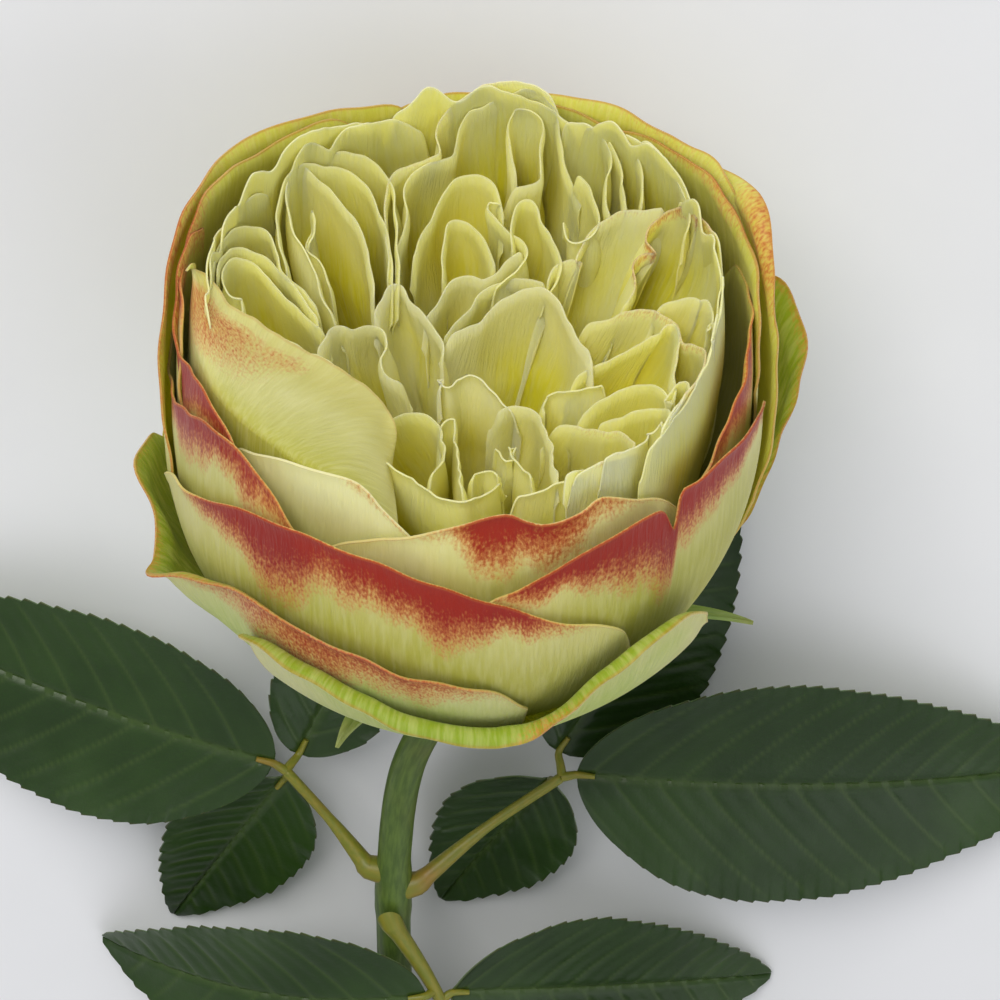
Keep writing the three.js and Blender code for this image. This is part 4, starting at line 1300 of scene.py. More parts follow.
INNER_PETALS = (
    InnerPetal("left_1", margin=(
        (-36.9, 3.4, 24.3), (-36.3, 7.3, 24.3), (-35.1, 10.3, 24), (-33.7, 12.9, 23.6),
        (-31.6, 15.1, 22.8), (-29.6, 15.9, 21.8), (-28.4, 15.3, 20.8), (-27.5, 13.1, 19.6),
        (-26.8, 10.6, 18.5), (-23.7, 8.5, 16), (-20.5, 5.7, 13.4),
    )),
    InnerPetal("left_2", margin=(
        (-35.3, 3.7, 23.2), (-35.1, 6.7, 23.3), (-34.4, 8.7, 23.2), (-33.3, 10.5, 22.7),
        (-31.5, 11.4, 21.7), (-29.3, 11.2, 20.2), (-27.5, 10.4, 18.8), (-25.6, 9.6, 17.4),
        (-23.6, 7.6, 15.8), (-22, 5.6, 14.4), (-20.9, 3.4, 13.4),
    )),
    InnerPetal("left_3", margin=(
        (-28.2, -1.4, 17.9), (-29.9, -1.1, 19), (-30.6, 0.1, 19.7), (-30.9, 2.5, 20),
        (-31.3, 3.4, 20.3), (-32.8, 3.1, 21.3), (-33.6, 4.7, 22), (-33.7, 6.6, 22.3),
        (-33, 8.4, 22.1),
        (-31.7, 9.4, 21.4), (-29.9, 9.6, 20.2), (-28, 7.8, 18.6), (-25.8, 6.4, 16.9),
        (-23.6, 5.1, 15.3), (-21.7, 4, 13.9), (-19.6, 2.5, 12.5),
    )),
    InnerPetal("left_4", margin=(
        (-33.2, 2.6, 21.6), (-32.2, 0.3, 20.8), (-30, -0.8, 19.2), (-27, -0.5, 17.2),
        (-24.3, -0.2, 15.4), (-22.1, -0.8, 13.9), (-20.3, -0.3, 12.8), (-17.1, -1.2, 10.8),
    )),
    InnerPetal("back_left_1", tone=0.6, margin=(
        (-17, 6.3, 11.5), (-19.2, 9.3, 13.5), (-21, 13.1, 15.7), (-22.6, 15.6, 17.5),
        (-24.3, 18.6, 19.7), (-25.2, 22.1, 21.8), (-25.5, 24.8, 23.2), (-24.7, 26.6, 23.8),
        (-22.8, 26.4, 22.7), (-20.3, 25.4, 21), (-18, 23.4, 18.9), (-16, 21.2, 16.9),
        (-15.2, 18.7, 15.3), (-14.5, 15.8, 13.6), (-13.7, 12.5, 11.8), (-13.1, 9.7, 10.4),
    )),
    InnerPetal("back_left_0", margin=(
        (-23.7, 16.8, 17.1), (-22.8, 19.1, 17.5), (-22.9, 20.9, 18.5), (-23.1, 22.8, 19.5),
        (-22.2, 23.4, 19.3), (-21.5, 22.4, 18.5), (-21.7, 20.2, 17.5), (-22.4, 17.6, 16.7),
        (-20.5, 16.1, 15.1), (-18.5, 12.2, 12.5),
    )),
    InnerPetal("back_left_2", margin=(
        (-24.2, 10.1, 17.1), (-25.7, 14.3, 19.3), (-26.7, 19.2, 21.8), (-26.2, 23.6, 23.5),
        (-24.1, 26.7, 24), (-20.6, 27.6, 22.9), (-17.7, 27.9, 21.9), (-15.1, 27, 20.4),
        (-13.5, 24.8, 18.5), (-12.4, 21.5, 16.2), (-11.7, 18.1, 14.1), (-11.2, 15.1, 12.4),
        (-11.4, 11.9, 11.1),
    )),
    InnerPetal("back_left_3", margin=(
        (-21.6, 29, 24.1), (-19.7, 29.7, 23.8), (-17.4, 30.3, 23.3), (-14.8, 30, 22.2),
        (-12.7, 29, 20.9), (-11.5, 27.8, 19.8), (-10.9, 26.2, 18.6), (-10.7, 23, 16.6),
        (-10.7, 19.5, 14.6), (-10.4, 16.5, 12.9), (-10.8, 12.7, 11.2),
    )),
    InnerPetal("back_1", tone=0.35, blush=0.3, margin=(
        (-10.5, 13.4, 11.4), (-10.8, 17.7, 13.6), (-11.1, 23.5, 17), (-10.8, 27.3, 19.3),
        (-9.8, 29.2, 20.3), (-8, 30.4, 20.7), (-5.4, 31.6, 21.2), (-3.6, 32.5, 21.7),
        (-3.8, 34.7, 23.2), (-3.3, 36.4, 24.4), (-1.8, 37.9, 25.5), (-0.2, 38.7, 26),
        (3.5, 40.7, 26.6), (6.8, 41.8, 26.6), (9.7, 41.6, 26.6), (11.7, 40.4, 26.6),
        (13.7, 37.7, 26.6), (15.5, 35.5, 26.1),
    )),
    InnerPetal("back_2", tone=0.35, margin=(
        (-10, 13.9, 10.9), (-9.4, 18.9, 13.3), (-8.3, 22.6, 15.2), (-7.9, 24.9, 16.6),
        (-8.5, 27.1, 18.2), (-8, 29.2, 19.4), (-6.4, 30.7, 20.2), (-3.8, 31.7, 20.6),
        (-1.5, 32.4, 20.9), (-0.5, 33.8, 21.9), (-0.3, 35.7, 23.3), (0.8, 37.4, 24.6),
        (2, 37.9, 25),
        (4.4, 38.7, 25.7), (6.8, 39.4, 26.1), (9.4, 40.4, 26.1), (11.7, 39.9, 26.1),
        (12.9, 37.7, 26.1), (13.5, 35.3, 24.9), (13.7, 32.5, 23), (14.2, 29.9, 21.4),
        (16.6, 27.1, 20.5),
    )),
    InnerPetal("back_3", margin=(
        (7.1, 28.6, 18.9), (6.3, 30.7, 20.2), (5.7, 33.2, 21.9), (5.8, 35.5, 23.5), (6.5, 37.4, 25),
        (7.9, 38.2, 25.7), (10.4, 37.4, 25.6), (11.9, 36.5, 25.3), (12.3, 35.2, 24.5),
        (12, 33.4, 23.2), (11.8, 30.9, 21.4), (11.7, 29.1, 20.2), (10.8, 28.4, 19.5),
        (8.6, 28.2, 18.9), (6.8, 28.2, 18.5), (5.7, 27.6, 18),
    )),
    InnerPetal("back_4", margin=(
        (14.4, 34, 24.2), (15.5, 34.5, 24.8), (16.6, 34.6, 25.2), (18.8, 33.7, 25.5),
        (20.3, 32.5, 25.2), (20.9, 30.8, 24.4), (20.6, 28.6, 23), (19.9, 26.8, 21.6),
        (19.8, 24.5, 20.3), (20.3, 22.3, 19.4), (20.9, 20.6, 18.8),
    )),
    InnerPetal("back_5", margin=(
        (15.2, 28.9, 21.1), (16.2, 28, 20.9), (17.5, 26.2, 20.3), (18.4, 23.9, 19.4),
        (19, 21.7, 18.5),
        (18.5, 20.5, 17.6), (17.1, 20, 16.7), (15.8, 20.1, 16.2), (15.2, 21.5, 16.7),
        (15.1, 23.5, 17.8),
    )),
    InnerPetal("back_6", margin=(
        (21.5, 31.8, 25.3), (22.3, 29.4, 24.2), (22.5, 26.9, 22.8), (21.9, 25.2, 21.7),
        (22.4, 22.6, 20.6), (23, 20.9, 20),
    )),
    InnerPetal("back_7", margin=(
        (20.2, 33.5, 25.9), (22.7, 32.4, 26.1), (24.8, 29.8, 25.6), (25.7, 27.1, 24.5),
        (25.7, 24.2, 23), (25.2, 22.3, 21.8), (24.8, 20.9, 20.9),
    )),
    InnerPetal("back_8", margin=(
        (23.8, 31.4, 26), (25.9, 30.5, 26.1), (27.7, 28.7, 26.1), (29.5, 28.6, 26.1),
        (31.2, 26, 26.1),
        (32.3, 22.1, 25.8), (32.8, 18.9, 24.9), (32.3, 16.1, 23.6), (30.5, 13.9, 21.8),
    )),
    InnerPetal("back_heart_1", margin=(
        (-7.4, 17.8, 12.2), (-6, 21.9, 14.4), (-4.5, 24.6, 15.9), (-3.1, 27.5, 17.7),
        (-1.3, 29.4, 18.8), (0.6, 30, 19.2), (2.6, 29.5, 19), (3.9, 27.9, 18), (4.6, 25.9, 16.7),
        (4.8, 23.3, 15.1),
    )),
    InnerPetal("back_heart_2", margin=(
        (-2.7, 16.4, 9.6), (-2.6, 20.9, 12.3), (-2.4, 24.1, 14.4), (-1.3, 25.1, 14.9),
        (0.6, 24.5, 14.5), (2, 22.6, 13.3), (3.1, 20.3, 12), (3.7, 18, 10.6),
    )),
    InnerPetal("back_heart_3", margin=(
        (5.7, 27.3, 18.3), (4.6, 26.8, 17.8), (3.3, 26.9, 17.7), (2.7, 26, 17.1), (3.3, 24.7, 16.3),
        (5.3, 22.8, 15.3), (7.3, 21.1, 14.6), (8, 19.4, 13.8), (6.8, 17.6, 12.5), (4.6, 15.9, 11.1),
        (3.3, 15, 10.4),
    )),
    InnerPetal("back_heart_4", margin=(
        (7.7, 19.8, 13.9), (7.3, 22.1, 15.2), (7.3, 24.3, 16.6), (7.9, 25.7, 17.6), (9.1, 25.9, 18),
        (9.9, 24.9, 17.6), (10.4, 23.1, 16.6), (11.8, 20.6, 15.6), (12.7, 18.4, 14.7),
        (12.9, 16.3, 13.7), (12.2, 14.1, 12.3), (10.7, 13.7, 11.6),
    )),
    InnerPetal("back_heart_6", tone=0.8, margin=(
        (-5.9, 9.8, 7.9), (-4.5, 12.5, 8.8), (-3, 14.7, 9.7), (-1.4, 16.6, 10.7), (0.2, 17.2, 11),
        (2.2, 16.6, 10.7), (3.7, 16.8, 11), (5.7, 17.8, 11.8), (7.5, 19.2, 13), (9.3, 20.2, 14),
    )),
    InnerPetal("back_heart_7", tone=0.7, margin=(
        (-3.5, 7.9, 6.7), (-1.2, 10.3, 7.4), (1.3, 13.1, 8.7), (3.1, 15, 9.9), (5.7, 15.9, 10.8),
        (8.6, 16.1, 11.6), (10.7, 15.4, 11.9), (11.8, 14.2, 11.7),
    )),
    InnerPetal("right_1", fall=1.1, spread=0.5, tone=0.55, blush=0.35, margin=(
        (11.8, 13.5, 11.4), (12.5, 15.4, 12.6), (13.6, 16.6, 13.6), (15.2, 16.8, 14.3),
        (16.8, 15.9, 14.7), (17.3, 17.4, 15.6), (18.1, 19.3, 16.8), (19.7, 20.5, 18.2),
        (22.6, 21.3, 20), (25.4, 20.5, 21.1), (27.9, 19.4, 22), (29.8, 18.9, 23),
    )),
    InnerPetal("right_2", fall=1.2, spread=0.5, tone=0.25, blush=1.0, margin=(
        (21.3, 5.6, 13.9), (23.4, 6.8, 15.5), (25, 8.3, 16.8), (25.3, 10.2, 17.4),
        (24.9, 12.5, 17.7),
        (25.8, 13.5, 18.7), (27.6, 13.1, 19.6), (26.6, 15.5, 19.8), (27.1, 17.5, 20.9),
        (29.3, 18.2, 22.4), (31.3, 17.9, 23.6), (33.4, 16.7, 24.5), (34.2, 14.6, 24.4),
        (35.2, 14.5, 25), (37, 11.7, 25.6), (38.6, 9.1, 26.1), (38.8, 5.3, 25.8),
    )),
    InnerPetal("right_3", fall=1.4, tone=0.4, margin=(
        (26.1, 2.7, 16.7), (28, 3.8, 18.1), (30.2, 3.3, 19.5), (31.9, 2.4, 20.7), (32.7, 0.5, 21.1),
        (33.9, 0.2, 22), (34.8, -2.1, 22.5), (34.8, -4.4, 22.4), (34, -4.7, 21.8), (35.6, -5.4, 23),
        (36.8, -8, 23.9), (37.5, -11.5, 24.7), (38.3, -7.9, 25), (38.2, -2.9, 25),
    )),
    InnerPetal("right_4", fall=1.5, tone=0.5, blush=0.6, margin=(
        (15.3, 5.8, 10.5), (17.8, 6.4, 12), (20.6, 5.8, 13.5), (23.4, 5.1, 15.2), (25.8, 4, 16.6),
        (28.1, 1.3, 18), (29.5, -2, 18.8), (30.1, -4.8, 19.1), (31.9, -6.5, 20.3),
        (33.5, -9.3, 21.5),
        (34.3, -13.3, 22.7), (34.1, -17.1, 23.3), (32.9, -20.9, 23.6), (32.3, -25.7, 23.6),
        (30.8, -30, 23.3),
    )),
    InnerPetal("right_5", fall=1.2, spread=0.5, tone=0.3, blush=0.25, margin=(
        (14.5, -4.8, 9.8), (16.6, -3.5, 10.9), (19.4, -2.5, 12.6), (22.2, -2.3, 14.3),
        (25.3, -2.3, 16.3), (27.8, -2.2, 18.1), (29.1, -1.2, 19), (29.3, -4.6, 19),
        (28.9, -9.1, 18.9),
        (28.6, -12.7, 19.2), (28.1, -17.3, 19.9),
    )),
    InnerPetal("right_6", fall=1.6, tone=1.0, blush=0.15, margin=(
        (-3.5, 6, 8.5), (-1.7, 7.5, 8.5), (2.1, 9.4, 9.1), (3.7, 10.7, 9.8), (6.4, 12.2, 11.1),
        (9.3, 12.9, 12.2), (11.5, 12.6, 12.9), (13, 10.1, 12.6), (14.9, 4.9, 12.1),
        (17.1, -1.8, 12.8),
        (17.7, -4.7, 13.1),
    )),
    InnerPetal("right_heart_1", margin=(
        (10.6, -7.8, 7.3), (10.3, -4.8, 6.8), (11.2, -2.6, 7.1), (13.1, -2.7, 8), (14.8, -3.7, 9),
        (17.6, -4.6, 10.6), (20.4, -5.2, 12.2),
    )),
    InnerPetal("right_heart_2", margin=(
        (14.7, -13.4, 11.1), (17.5, -11.9, 12), (19.9, -10.2, 13), (22.7, -9.5, 14.5),
        (25.4, -10.3, 16.3), (27.1, -13.2, 17.9), (27.9, -17.1, 19.3), (29, -15.5, 19.5),
        (30.3, -14, 20), (31.4, -16.9, 21.4), (31.7, -22.7, 23.4), (30.9, -27.8, 23.4),
        (30.1, -31.3, 23.2),
    )),
    InnerPetal("right_heart_3", margin=(
        (17.7, -14.7, 12.4), (21.5, -15.7, 14.6), (24.8, -15.9, 16.6), (27.3, -17.5, 18.5),
        (28.9, -22.7, 21.1), (29.6, -27.3, 22.9),
    )),
    InnerPetal("front_right_1", tone=0.4, blush=0.4, margin=(
        (10.7, -12.1, 9), (12.5, -12.3, 9.7), (14.3, -13.2, 10.8), (16.4, -15.2, 12.4),
        (18.8, -18.1, 14.5), (21.2, -19.5, 16.2), (22.4, -22.1, 17.8), (22.7, -26.9, 19.9),
        (22, -29.6, 20.9), (20.1, -33.2, 22.2), (18.2, -36, 22.5), (16.4, -37.5, 22.5),
        (15.8, -38.9, 22.4),
    )),
    InnerPetal("front_right_3", tone=0.6, margin=(
        (20, -35.3, 22.6), (21.9, -33, 22.8), (23.5, -29.3, 21.6), (24.8, -25.8, 20.5),
        (25.1, -22.6, 19.3), (26.4, -23, 20.2), (28.5, -23.6, 21.7), (30.1, -26.6, 23.5),
    )),
    InnerPetal("front_right_5", margin=(
        (5.6, -32.7, 17.8), (8.5, -31.7, 17.6), (12.2, -29.8, 17.4), (15.2, -28.8, 17.8),
        (17.6, -28.5, 18.5), (19, -28.4, 19), (19.3, -30, 19.9), (17.7, -34.9, 22.3),
        (16.2, -37.1, 22.4), (15.8, -38.9, 22.4),
    )),
    InnerPetal("front_1", margin=(
        (-3.9, -14.1, 7.9), (-4, -10, 6.4), (-5.5, -7.1, 6), (-7.4, -6.6, 6.4), (-9.6, -8.1, 7.5),
        (-11.1, -10.6, 8.7), (-12.1, -14.8, 10.4), (-12.3, -17.3, 11.4), (-10.8, -19.7, 11.9),
        (-8.2, -23.2, 13), (-5.3, -27.8, 14.9), (-2.9, -31.1, 16.6), (-0.1, -32.4, 17.2),
        (1.3, -31, 16.4), (3.1, -29.5, 15.7), (4.8, -25.9, 13.8), (5.4, -23.5, 12.6),
    )),
    InnerPetal("front_2", margin=(
        (-5.1, -26.4, 14.1), (-4.3, -20.3, 10.8), (-3.4, -15.5, 8.4), (-3.9, -11.3, 6.8),
        (-3.9, -8.2, 5.9), (-2.7, -6.5, 5.8), (-1.4, -6, 5.8), (-0.7, -6.9, 5.7),
        (-0.5, -10.9, 6.4),
        (-0.3, -16.6, 8.8), (-0, -23.1, 12), (0.6, -27.5, 14.4), (1.3, -30.4, 16.1),
    )),
    InnerPetal("front_3", fall=1.6, tone=1.0, margin=(
        (-4, -3.6, 7.1), (-4.2, -1.6, 7.3), (-3.7, 0.3, 7.5), (-2.5, -1.1, 7.4), (-1.4, 0.3, 7.5),
        (0.5, 0.9, 7.5), (2.7, -0, 7.5), (4.6, -1.8, 7.3), (6.2, -4, 7), (7.2, -5.5, 7.2),
        (8.1, -6.3, 7.6),
    )),
    InnerPetal("front_4", tone=0.7, blush=0.2, margin=(
        (3, -6, 6.8), (4.8, -6.8, 6.8), (7.2, -6, 7.3), (9.1, -7.1, 8.1), (10.1, -9.5, 9),
        (10.7, -13.5, 10.5), (11.3, -18.7, 12.7), (11.8, -25.1, 15.8), (12.4, -30.8, 19),
    )),
    InnerPetal("front_5", margin=(
        (0.2, -24.9, 12.9), (1.3, -21.9, 11.4), (2.8, -21, 11), (4.5, -22.4, 11.9),
        (5.4, -24.3, 13),
    )),
    InnerPetal("front_6", margin=(
        (4.6, -12.9, 7.5), (5.4, -16, 9), (6.3, -18.7, 10.4), (6.7, -14.2, 8.5), (7.7, -18.3, 10.5),
        (8.6, -22.2, 12.5), (10.1, -27.3, 15.5),
    )),
    InnerPetal("middle_1", fall=1.5, tone=0.8, margin=(
        (-20.2, -1.3, 12.7), (-19.7, 1.8, 12.5), (-18.3, 5.4, 12.1), (-16.1, 6.2, 11),
        (-13.6, 7.7, 10.1), (-12.2, 7.4, 9.3), (-12.2, 5.4, 8.8), (-13, 2.8, 8.8),
        (-12.5, 0.3, 8.4),
        (-10.6, -0.7, 7.4), (-7.7, -1.1, 6.4),
    )),
    InnerPetal("middle_2", fall=1.2, tone=1.0, margin=(
        (-12.9, 7.7, 10.8), (-11.7, 11.1, 11.4), (-10.2, 14.1, 12.1), (-8.7, 12.4, 10.8),
        (-6.6, 10.7, 9.4), (-4.6, 8.8, 8.2), (-3.6, 6.5, 7.5), (-3.8, 3.5, 7.5),
    )),
    InnerPetal("right_7", tone=0.15, fall=3.0, margin=(
        (38.7, 4.3, 26.2), (38.6, -0.2, 26), (38, -4.3, 24.7), (37.1, -8.9, 24.2),
        (36, -12.7, 23.3), (34.6, -17.8, 23.4), (33.8, -22.5, 22.9), (32.6, -27.7, 22.5),
        (31.1, -33.1, 21.7), (29.4, -36.4, 21),
    )),
    InnerPetal("right_8", tone=0.15, fall=3.0, margin=(
        (36.9, 2.3, 24.2), (37.4, -2.5, 24.3), (36.9, -6.5, 23.4), (35.6, -10.1, 22.6),
        (34.2, -13.8, 21.7), (33.1, -19.9, 22.4), (32.2, -25, 22.2), (31, -29.4, 21.4),
        (29, -33.8, 20.6),
    )),
    hugging("left_5", 196, 152, 38.6, 25.4),
    hugging("left_6", 182, 140, 37.4, 25.2),
    hugging("back_left_4", 160, 108, 38.2, 26.6),
    hugging("back_left_5", 140, 98, 36.6, 25.6),
    hugging("back_9", 110, 62, 39.0, 27.0),
    hugging("back_10", 64, 22, 38.6, 27.4),
    hugging("right_9", 34, -8, 37.4, 26.4),
)


class Quarter(Enum):
    """The bloom's quarters: each one's place in the building order, its number and its ranks."""

    LEFT = ("left", 2, 2)
    BACK_LEFT = ("back_left", 1, 3)
    BACK = ("back", 3, 4)
    BACK_HEART = ("back_heart", 4, 2)
    RIGHT = ("right", 5, 3)
    RIGHT_HEART = ("right_heart", 6, 3)
    FRONT_RIGHT = ("front_right", 6, 3)
    FRONT = ("front", 7, 2)
    MIDDLE = ("middle", 8, 1)

    def petals(self) -> list[InnerPetal]:
        """The petals of the quarter, in order."""
        return [petal for petal in INNER_PETALS
                if petal.name.rsplit("_", 1)[0] == self.value[0]]

    def nodes(self, place: int, total: int) -> tuple[str, ...]:
        """The frame nodes for one petal of the quarter.

        Args:
            place: The petal's place among the quarter's petals, from 0.
            total: How many petals the quarter has.

        Returns:
            The names of the nodes that the petal stands for.
        """
        _, number, ranks = self.value
        first = place * ranks // total + 1
        last = max(first, (place + 1) * ranks // total)
        return tuple(f"quarter_{number}_petal_{rank}" for rank in range(first, last + 1))


@dataclass
class Bloom:
    """The globe of petals with the receptacle and the sepals under it."""

    paints: Paints
    pieces: list[bpy.types.Object] = field(default_factory=list)

    def build_guards(self) -> None:
        """Makes the guard petals."""
        for guard in GUARDS:
            self.pieces.append(guard.build(self.paints))
        self.pieces.append(CuppedPetal().build(self.paints))

    def build_inner(self) -> None:
        """Makes the petals of each quarter."""
        for quarter in Quarter:
            petals = quarter.petals()
            for place, petal in enumerate(petals):
                nodes = quarter.nodes(place, len(petals))
                self.pieces.append(petal.build(self.paints, nodes))

    def build_receptacle(self) -> None:
        """Makes the hip and the column that the petals grow from."""
        seat = -GLOBE_FOOT
        outline = np.array([
            (0.05, seat - HIP_LENGTH), (NECK_RADIUS, seat - HIP_LENGTH),
            (NECK_RADIUS + 1.1, seat - HIP_LENGTH + 1.8), (HIP_RADIUS - 0.5, seat - 8.4),
            (HIP_RADIUS, seat - 6), (HIP_RADIUS - 0.1, seat - 3.5), (6.0, seat - 1.5),
            (6.0, seat + 4), (6.0, seat + 9.5), (4.8, seat + 11.5), (0.05, seat + 12.5),
        ])
        line = smooth_curve(outline, np.linspace(0, 1, 60))
        path = PLACE.lay(np.stack([np.zeros(60), np.zeros(60), line[:, 1]], axis=-1))
        piece = tube("hip", path, np.maximum(line[:, 0], 0.05), 40)
        finish_piece(piece, self.paints.calyx, ("receptacle",))
        self.pieces.append(piece)

    def build(self) -> None:
        """Makes every part of the bloom."""
        self.build_guards()
        self.build_inner()
        self.build_receptacle()
        for sepal in SEPALS:
            self.pieces.append(sepal.build(self.paints))


@dataclass
class Sepal:
    """A narrow green sepal that spreads under the globe, with a thread-like tip."""

    number: int
    azimuth: float
    reach: float
    hook: float
    thread: float = 0.0

    def spine(self, t: Array) -> Array:
        """Places along the sepal's middle, before it is turned to its azimuth.

        Args:
            t: Places along the sepal, from 0 at its foot to 1 at its tip.

        Returns:
            The places, in millimetres.
        """
        seat = -GLOBE_FOOT - SEPAL_DROP
        points = np.array([
            (HIP_RADIUS + TOUCH, 0, seat), (self.reach * 0.45, 0, seat - 2),
            (self.reach * 0.85, 0, seat + 3), (self.reach, 0, seat + 3 - self.hook),
        ])
        u = t[..., None]
        line = ((1 - u) ** 3 * points[0] + 3 * (1 - u) ** 2 * u * points[1]
                + 3 * (1 - u) * u ** 2 * points[2] + u ** 3 * points[3])
        tail = ease(t, 0.75, 1.0) * self.thread
        line[..., 0] += tail
        line[..., 2] -= 0.03 * tail ** 2
        return line

    def shape(self, s: Array, t: Array) -> tuple[Array, dict[str, Array]]:
        """Places and tags of the sepal's points.

        Args:
            s: Places across the sepal, from -1 to 1.
            t: Places along the sepal, from 0 at its foot to 1 at its tip.

        Returns:
            The places in the row's frame, in millimetres, and the tags by name.
        """
        places = self.spine(t)
        body = (1 - t) ** 0.9 * (0.72 + 1.3 * t * (1 - t))
        width = 4.4 * body + 0.45 * (1 - t) + 0.22
        side = s * width
        places[..., 1] += side
        places[..., 2] += 0.05 * side ** 2 - 0.35 * np.exp(-(side / 0.5) ** 2)
        turn = math.radians(self.azimuth)
        x = places[..., 0] * math.cos(turn) - places[..., 1] * math.sin(turn)
        y = places[..., 0] * math.sin(turn) + places[..., 1] * math.cos(turn)
        places = np.stack([x, y, places[..., 2]], axis=-1)
        tags = {"grain": np.stack([side, t * 30, np.full(s.shape, self.number * 3.0)], axis=-1)}
        return PLACE.lay(places.reshape(-1, 3)).reshape(places.shape), tags

    def build(self, paints: Paints) -> bpy.types.Object:
        """Makes the sepal and gives it its finish.

        Args:
            paints: The finishes.

        Returns:
            The finished piece.
        """
        down = np.array([0.0, 1.0, 0.0])
        sheet = Sheet(f"sepal_blade_{self.number}", 12, 48, SEPAL_THICKNESS, crowding=1.0)
        piece = sheet.build(self.shape, lambda points: np.broadcast_to(down, points.shape))
        finish_piece(piece, paints.calyx, (f"sepal_{self.number}",))
        return piece


SEPALS = (
    Sepal(1, -126, 33, 5), Sepal(2, -64, 27, 3), Sepal(3, -6, 38, 1, thread=6),
    Sepal(4, 76, 28, 0), Sepal(5, 158, 34, 4),
)


# ---- The stem ----
class Stem:
    """The bowed stem, its prickles and its pale cut end."""

    PRICKLES = ((0.16, 175), (0.42, -75), (0.47, 40), (0.56, 95), (0.63, -50), (0.72, 60),
                (0.8, -85), (0.88, 20))
    PRICKLE_LENGTH = 6.0
    BENDS = ((0.48, 0.073, 0.22), (0.78, 0.117, 0.33), (0.96, 0.19, 0.45), (1, 0.317, 0.62),
             (0.93, 0.44, 0.75), (0.75, 0.606, 0.87))

    def __init__(self, paints: Paints) -> None:
        """Works out the stem's curve in the row's frame.

        Args:
            paints: The finishes.
        """
        self.paints = paints
        globe = np.array([0.0, 0.0, GLOBE_RADIUS])
        down = -PLACE.axis
        neck = globe + down * (GLOBE_FOOT + HIP_LENGTH + TOUCH)
        butt = np.array([4.0, neck[1] + STEM_REACH, BUTT_RADIUS + 0.1])
        bends = [(bow * STEM_BOW, neck[1] + reach * STEM_REACH,
                  neck[2] + (butt[2] - neck[2]) * drop) for bow, reach, drop in self.BENDS]
        knots = np.vstack([neck, neck + down * HIP_LENGTH / 2, *bends, butt])
        shares = np.linspace(0, 1, 801)
        self.line = catmull_rom(knots, shares) + PLACE.shift
        self.line[:, 2] -= PLACE.shift[2] * shares
        gaps = np.linalg.norm(np.diff(self.line, axis=0), axis=1)
        self.reach = np.concatenate([[0], np.cumsum(gaps)])

    def point(self, share: Array | float) -> Array:
        """Places at shares of the stem's length."""
        at = np.asarray(share) * self.reach[-1]
        return np.stack([np.interp(at, self.reach, self.line[:, k]) for k in range(3)], axis=-1)

    def tangent(self, share: float) -> Array:
        """The way the stem runs at a share of its length."""
        return unit(self.point(share + 1e-3) - self.point(share - 1e-3))

    @staticmethod
    def radius(share: Array | float) -> Array:
        """The stem's radius at a share of its length."""
        return NECK_RADIUS + (BUTT_RADIUS - NECK_RADIUS) * np.minimum(1, np.asarray(share) * 1.6)

    def build(self) -> None:
        """Makes the stem, the prickles and the cut end."""
        shares = np.linspace(0, 1, 240)
        radii = self.radius(shares)
        for joint in (0.225, 0.24, 0.255, 0.52, 0.78):
            radii = radii + 0.25 * np.exp(-((shares - joint) / 0.008) ** 2)
        radii = radii * (1 + 0.012 * ripple(5, shares, 60.0))
        radii[-2:] *= np.array([0.99, 0.95])
        piece = tube("stem_skin", self.point(shares), radii, 40)
        finish_piece(piece, self.paints.stem, ("stem",))
        self.build_cut_end()
        for i, (share, around) in enumerate(self.PRICKLES):
            self.build_prickle(i + 1, share, around)

    def build_cut_end(self) -> None:
        """Makes the pale, slightly hollowed wood of the cut."""
        end, along = self.point(1.0), self.tangent(0.998)
        path = np.array([end - along * 0.6, end + along * 0.05, end + along * 0.1,
                         end + along * 0.04, end - along * 0.02])
        radii = np.array([2.9, 2.9, 2.5, 1.2, 0.05])
        piece = tube("stem_cut_end", path, radii, 32)
        finish_piece(piece, self.paints.pith, ("stem",))

    def build_prickle(self, number: int, share: float, around: float) -> None:
        """Makes one hooked prickle.

        Args:
            number: Its number along the stem.
            share: Where it stands, as a share of the stem's length.
            around: Its turn about the stem from straight up, in degrees.
        """
        foot, along = self.point(share), self.tangent(share)
        up = unit(np.array([0, 0, 1.0]) - along * along[2])
        side = np.cross(along, up)
        turn = math.radians(around)
        out = math.cos(turn) * up + math.sin(turn) * side
        radius = float(self.radius(share))
        start = foot + out * radius * 0.8
        knee = foot + out * (radius + self.PRICKLE_LENGTH * 0.5)
        tip = foot + out * (radius + self.PRICKLE_LENGTH * 0.8) + along * 3
        u = np.linspace(0, 1, 22)[:, None]
        path = (1 - u) ** 2 * start + 2 * u * (1 - u) * knee + u ** 2 * tip
        radii = 0.1 + 1.55 * (1 - u[:, 0]) ** 1.5
        piece = tube(f"prickle_{number}", path, radii, 16)
        points = mesh_points(piece) / MM
        depth = np.clip(1 - ((points - start) @ out) / 5, 0, 1)
        stretch = ((points - start) @ along)[:, None] * along
        move_points(piece, points + stretch * 0.9 * depth[:, None])
        finish_piece(piece, self.paints.prickle, ("stem",))


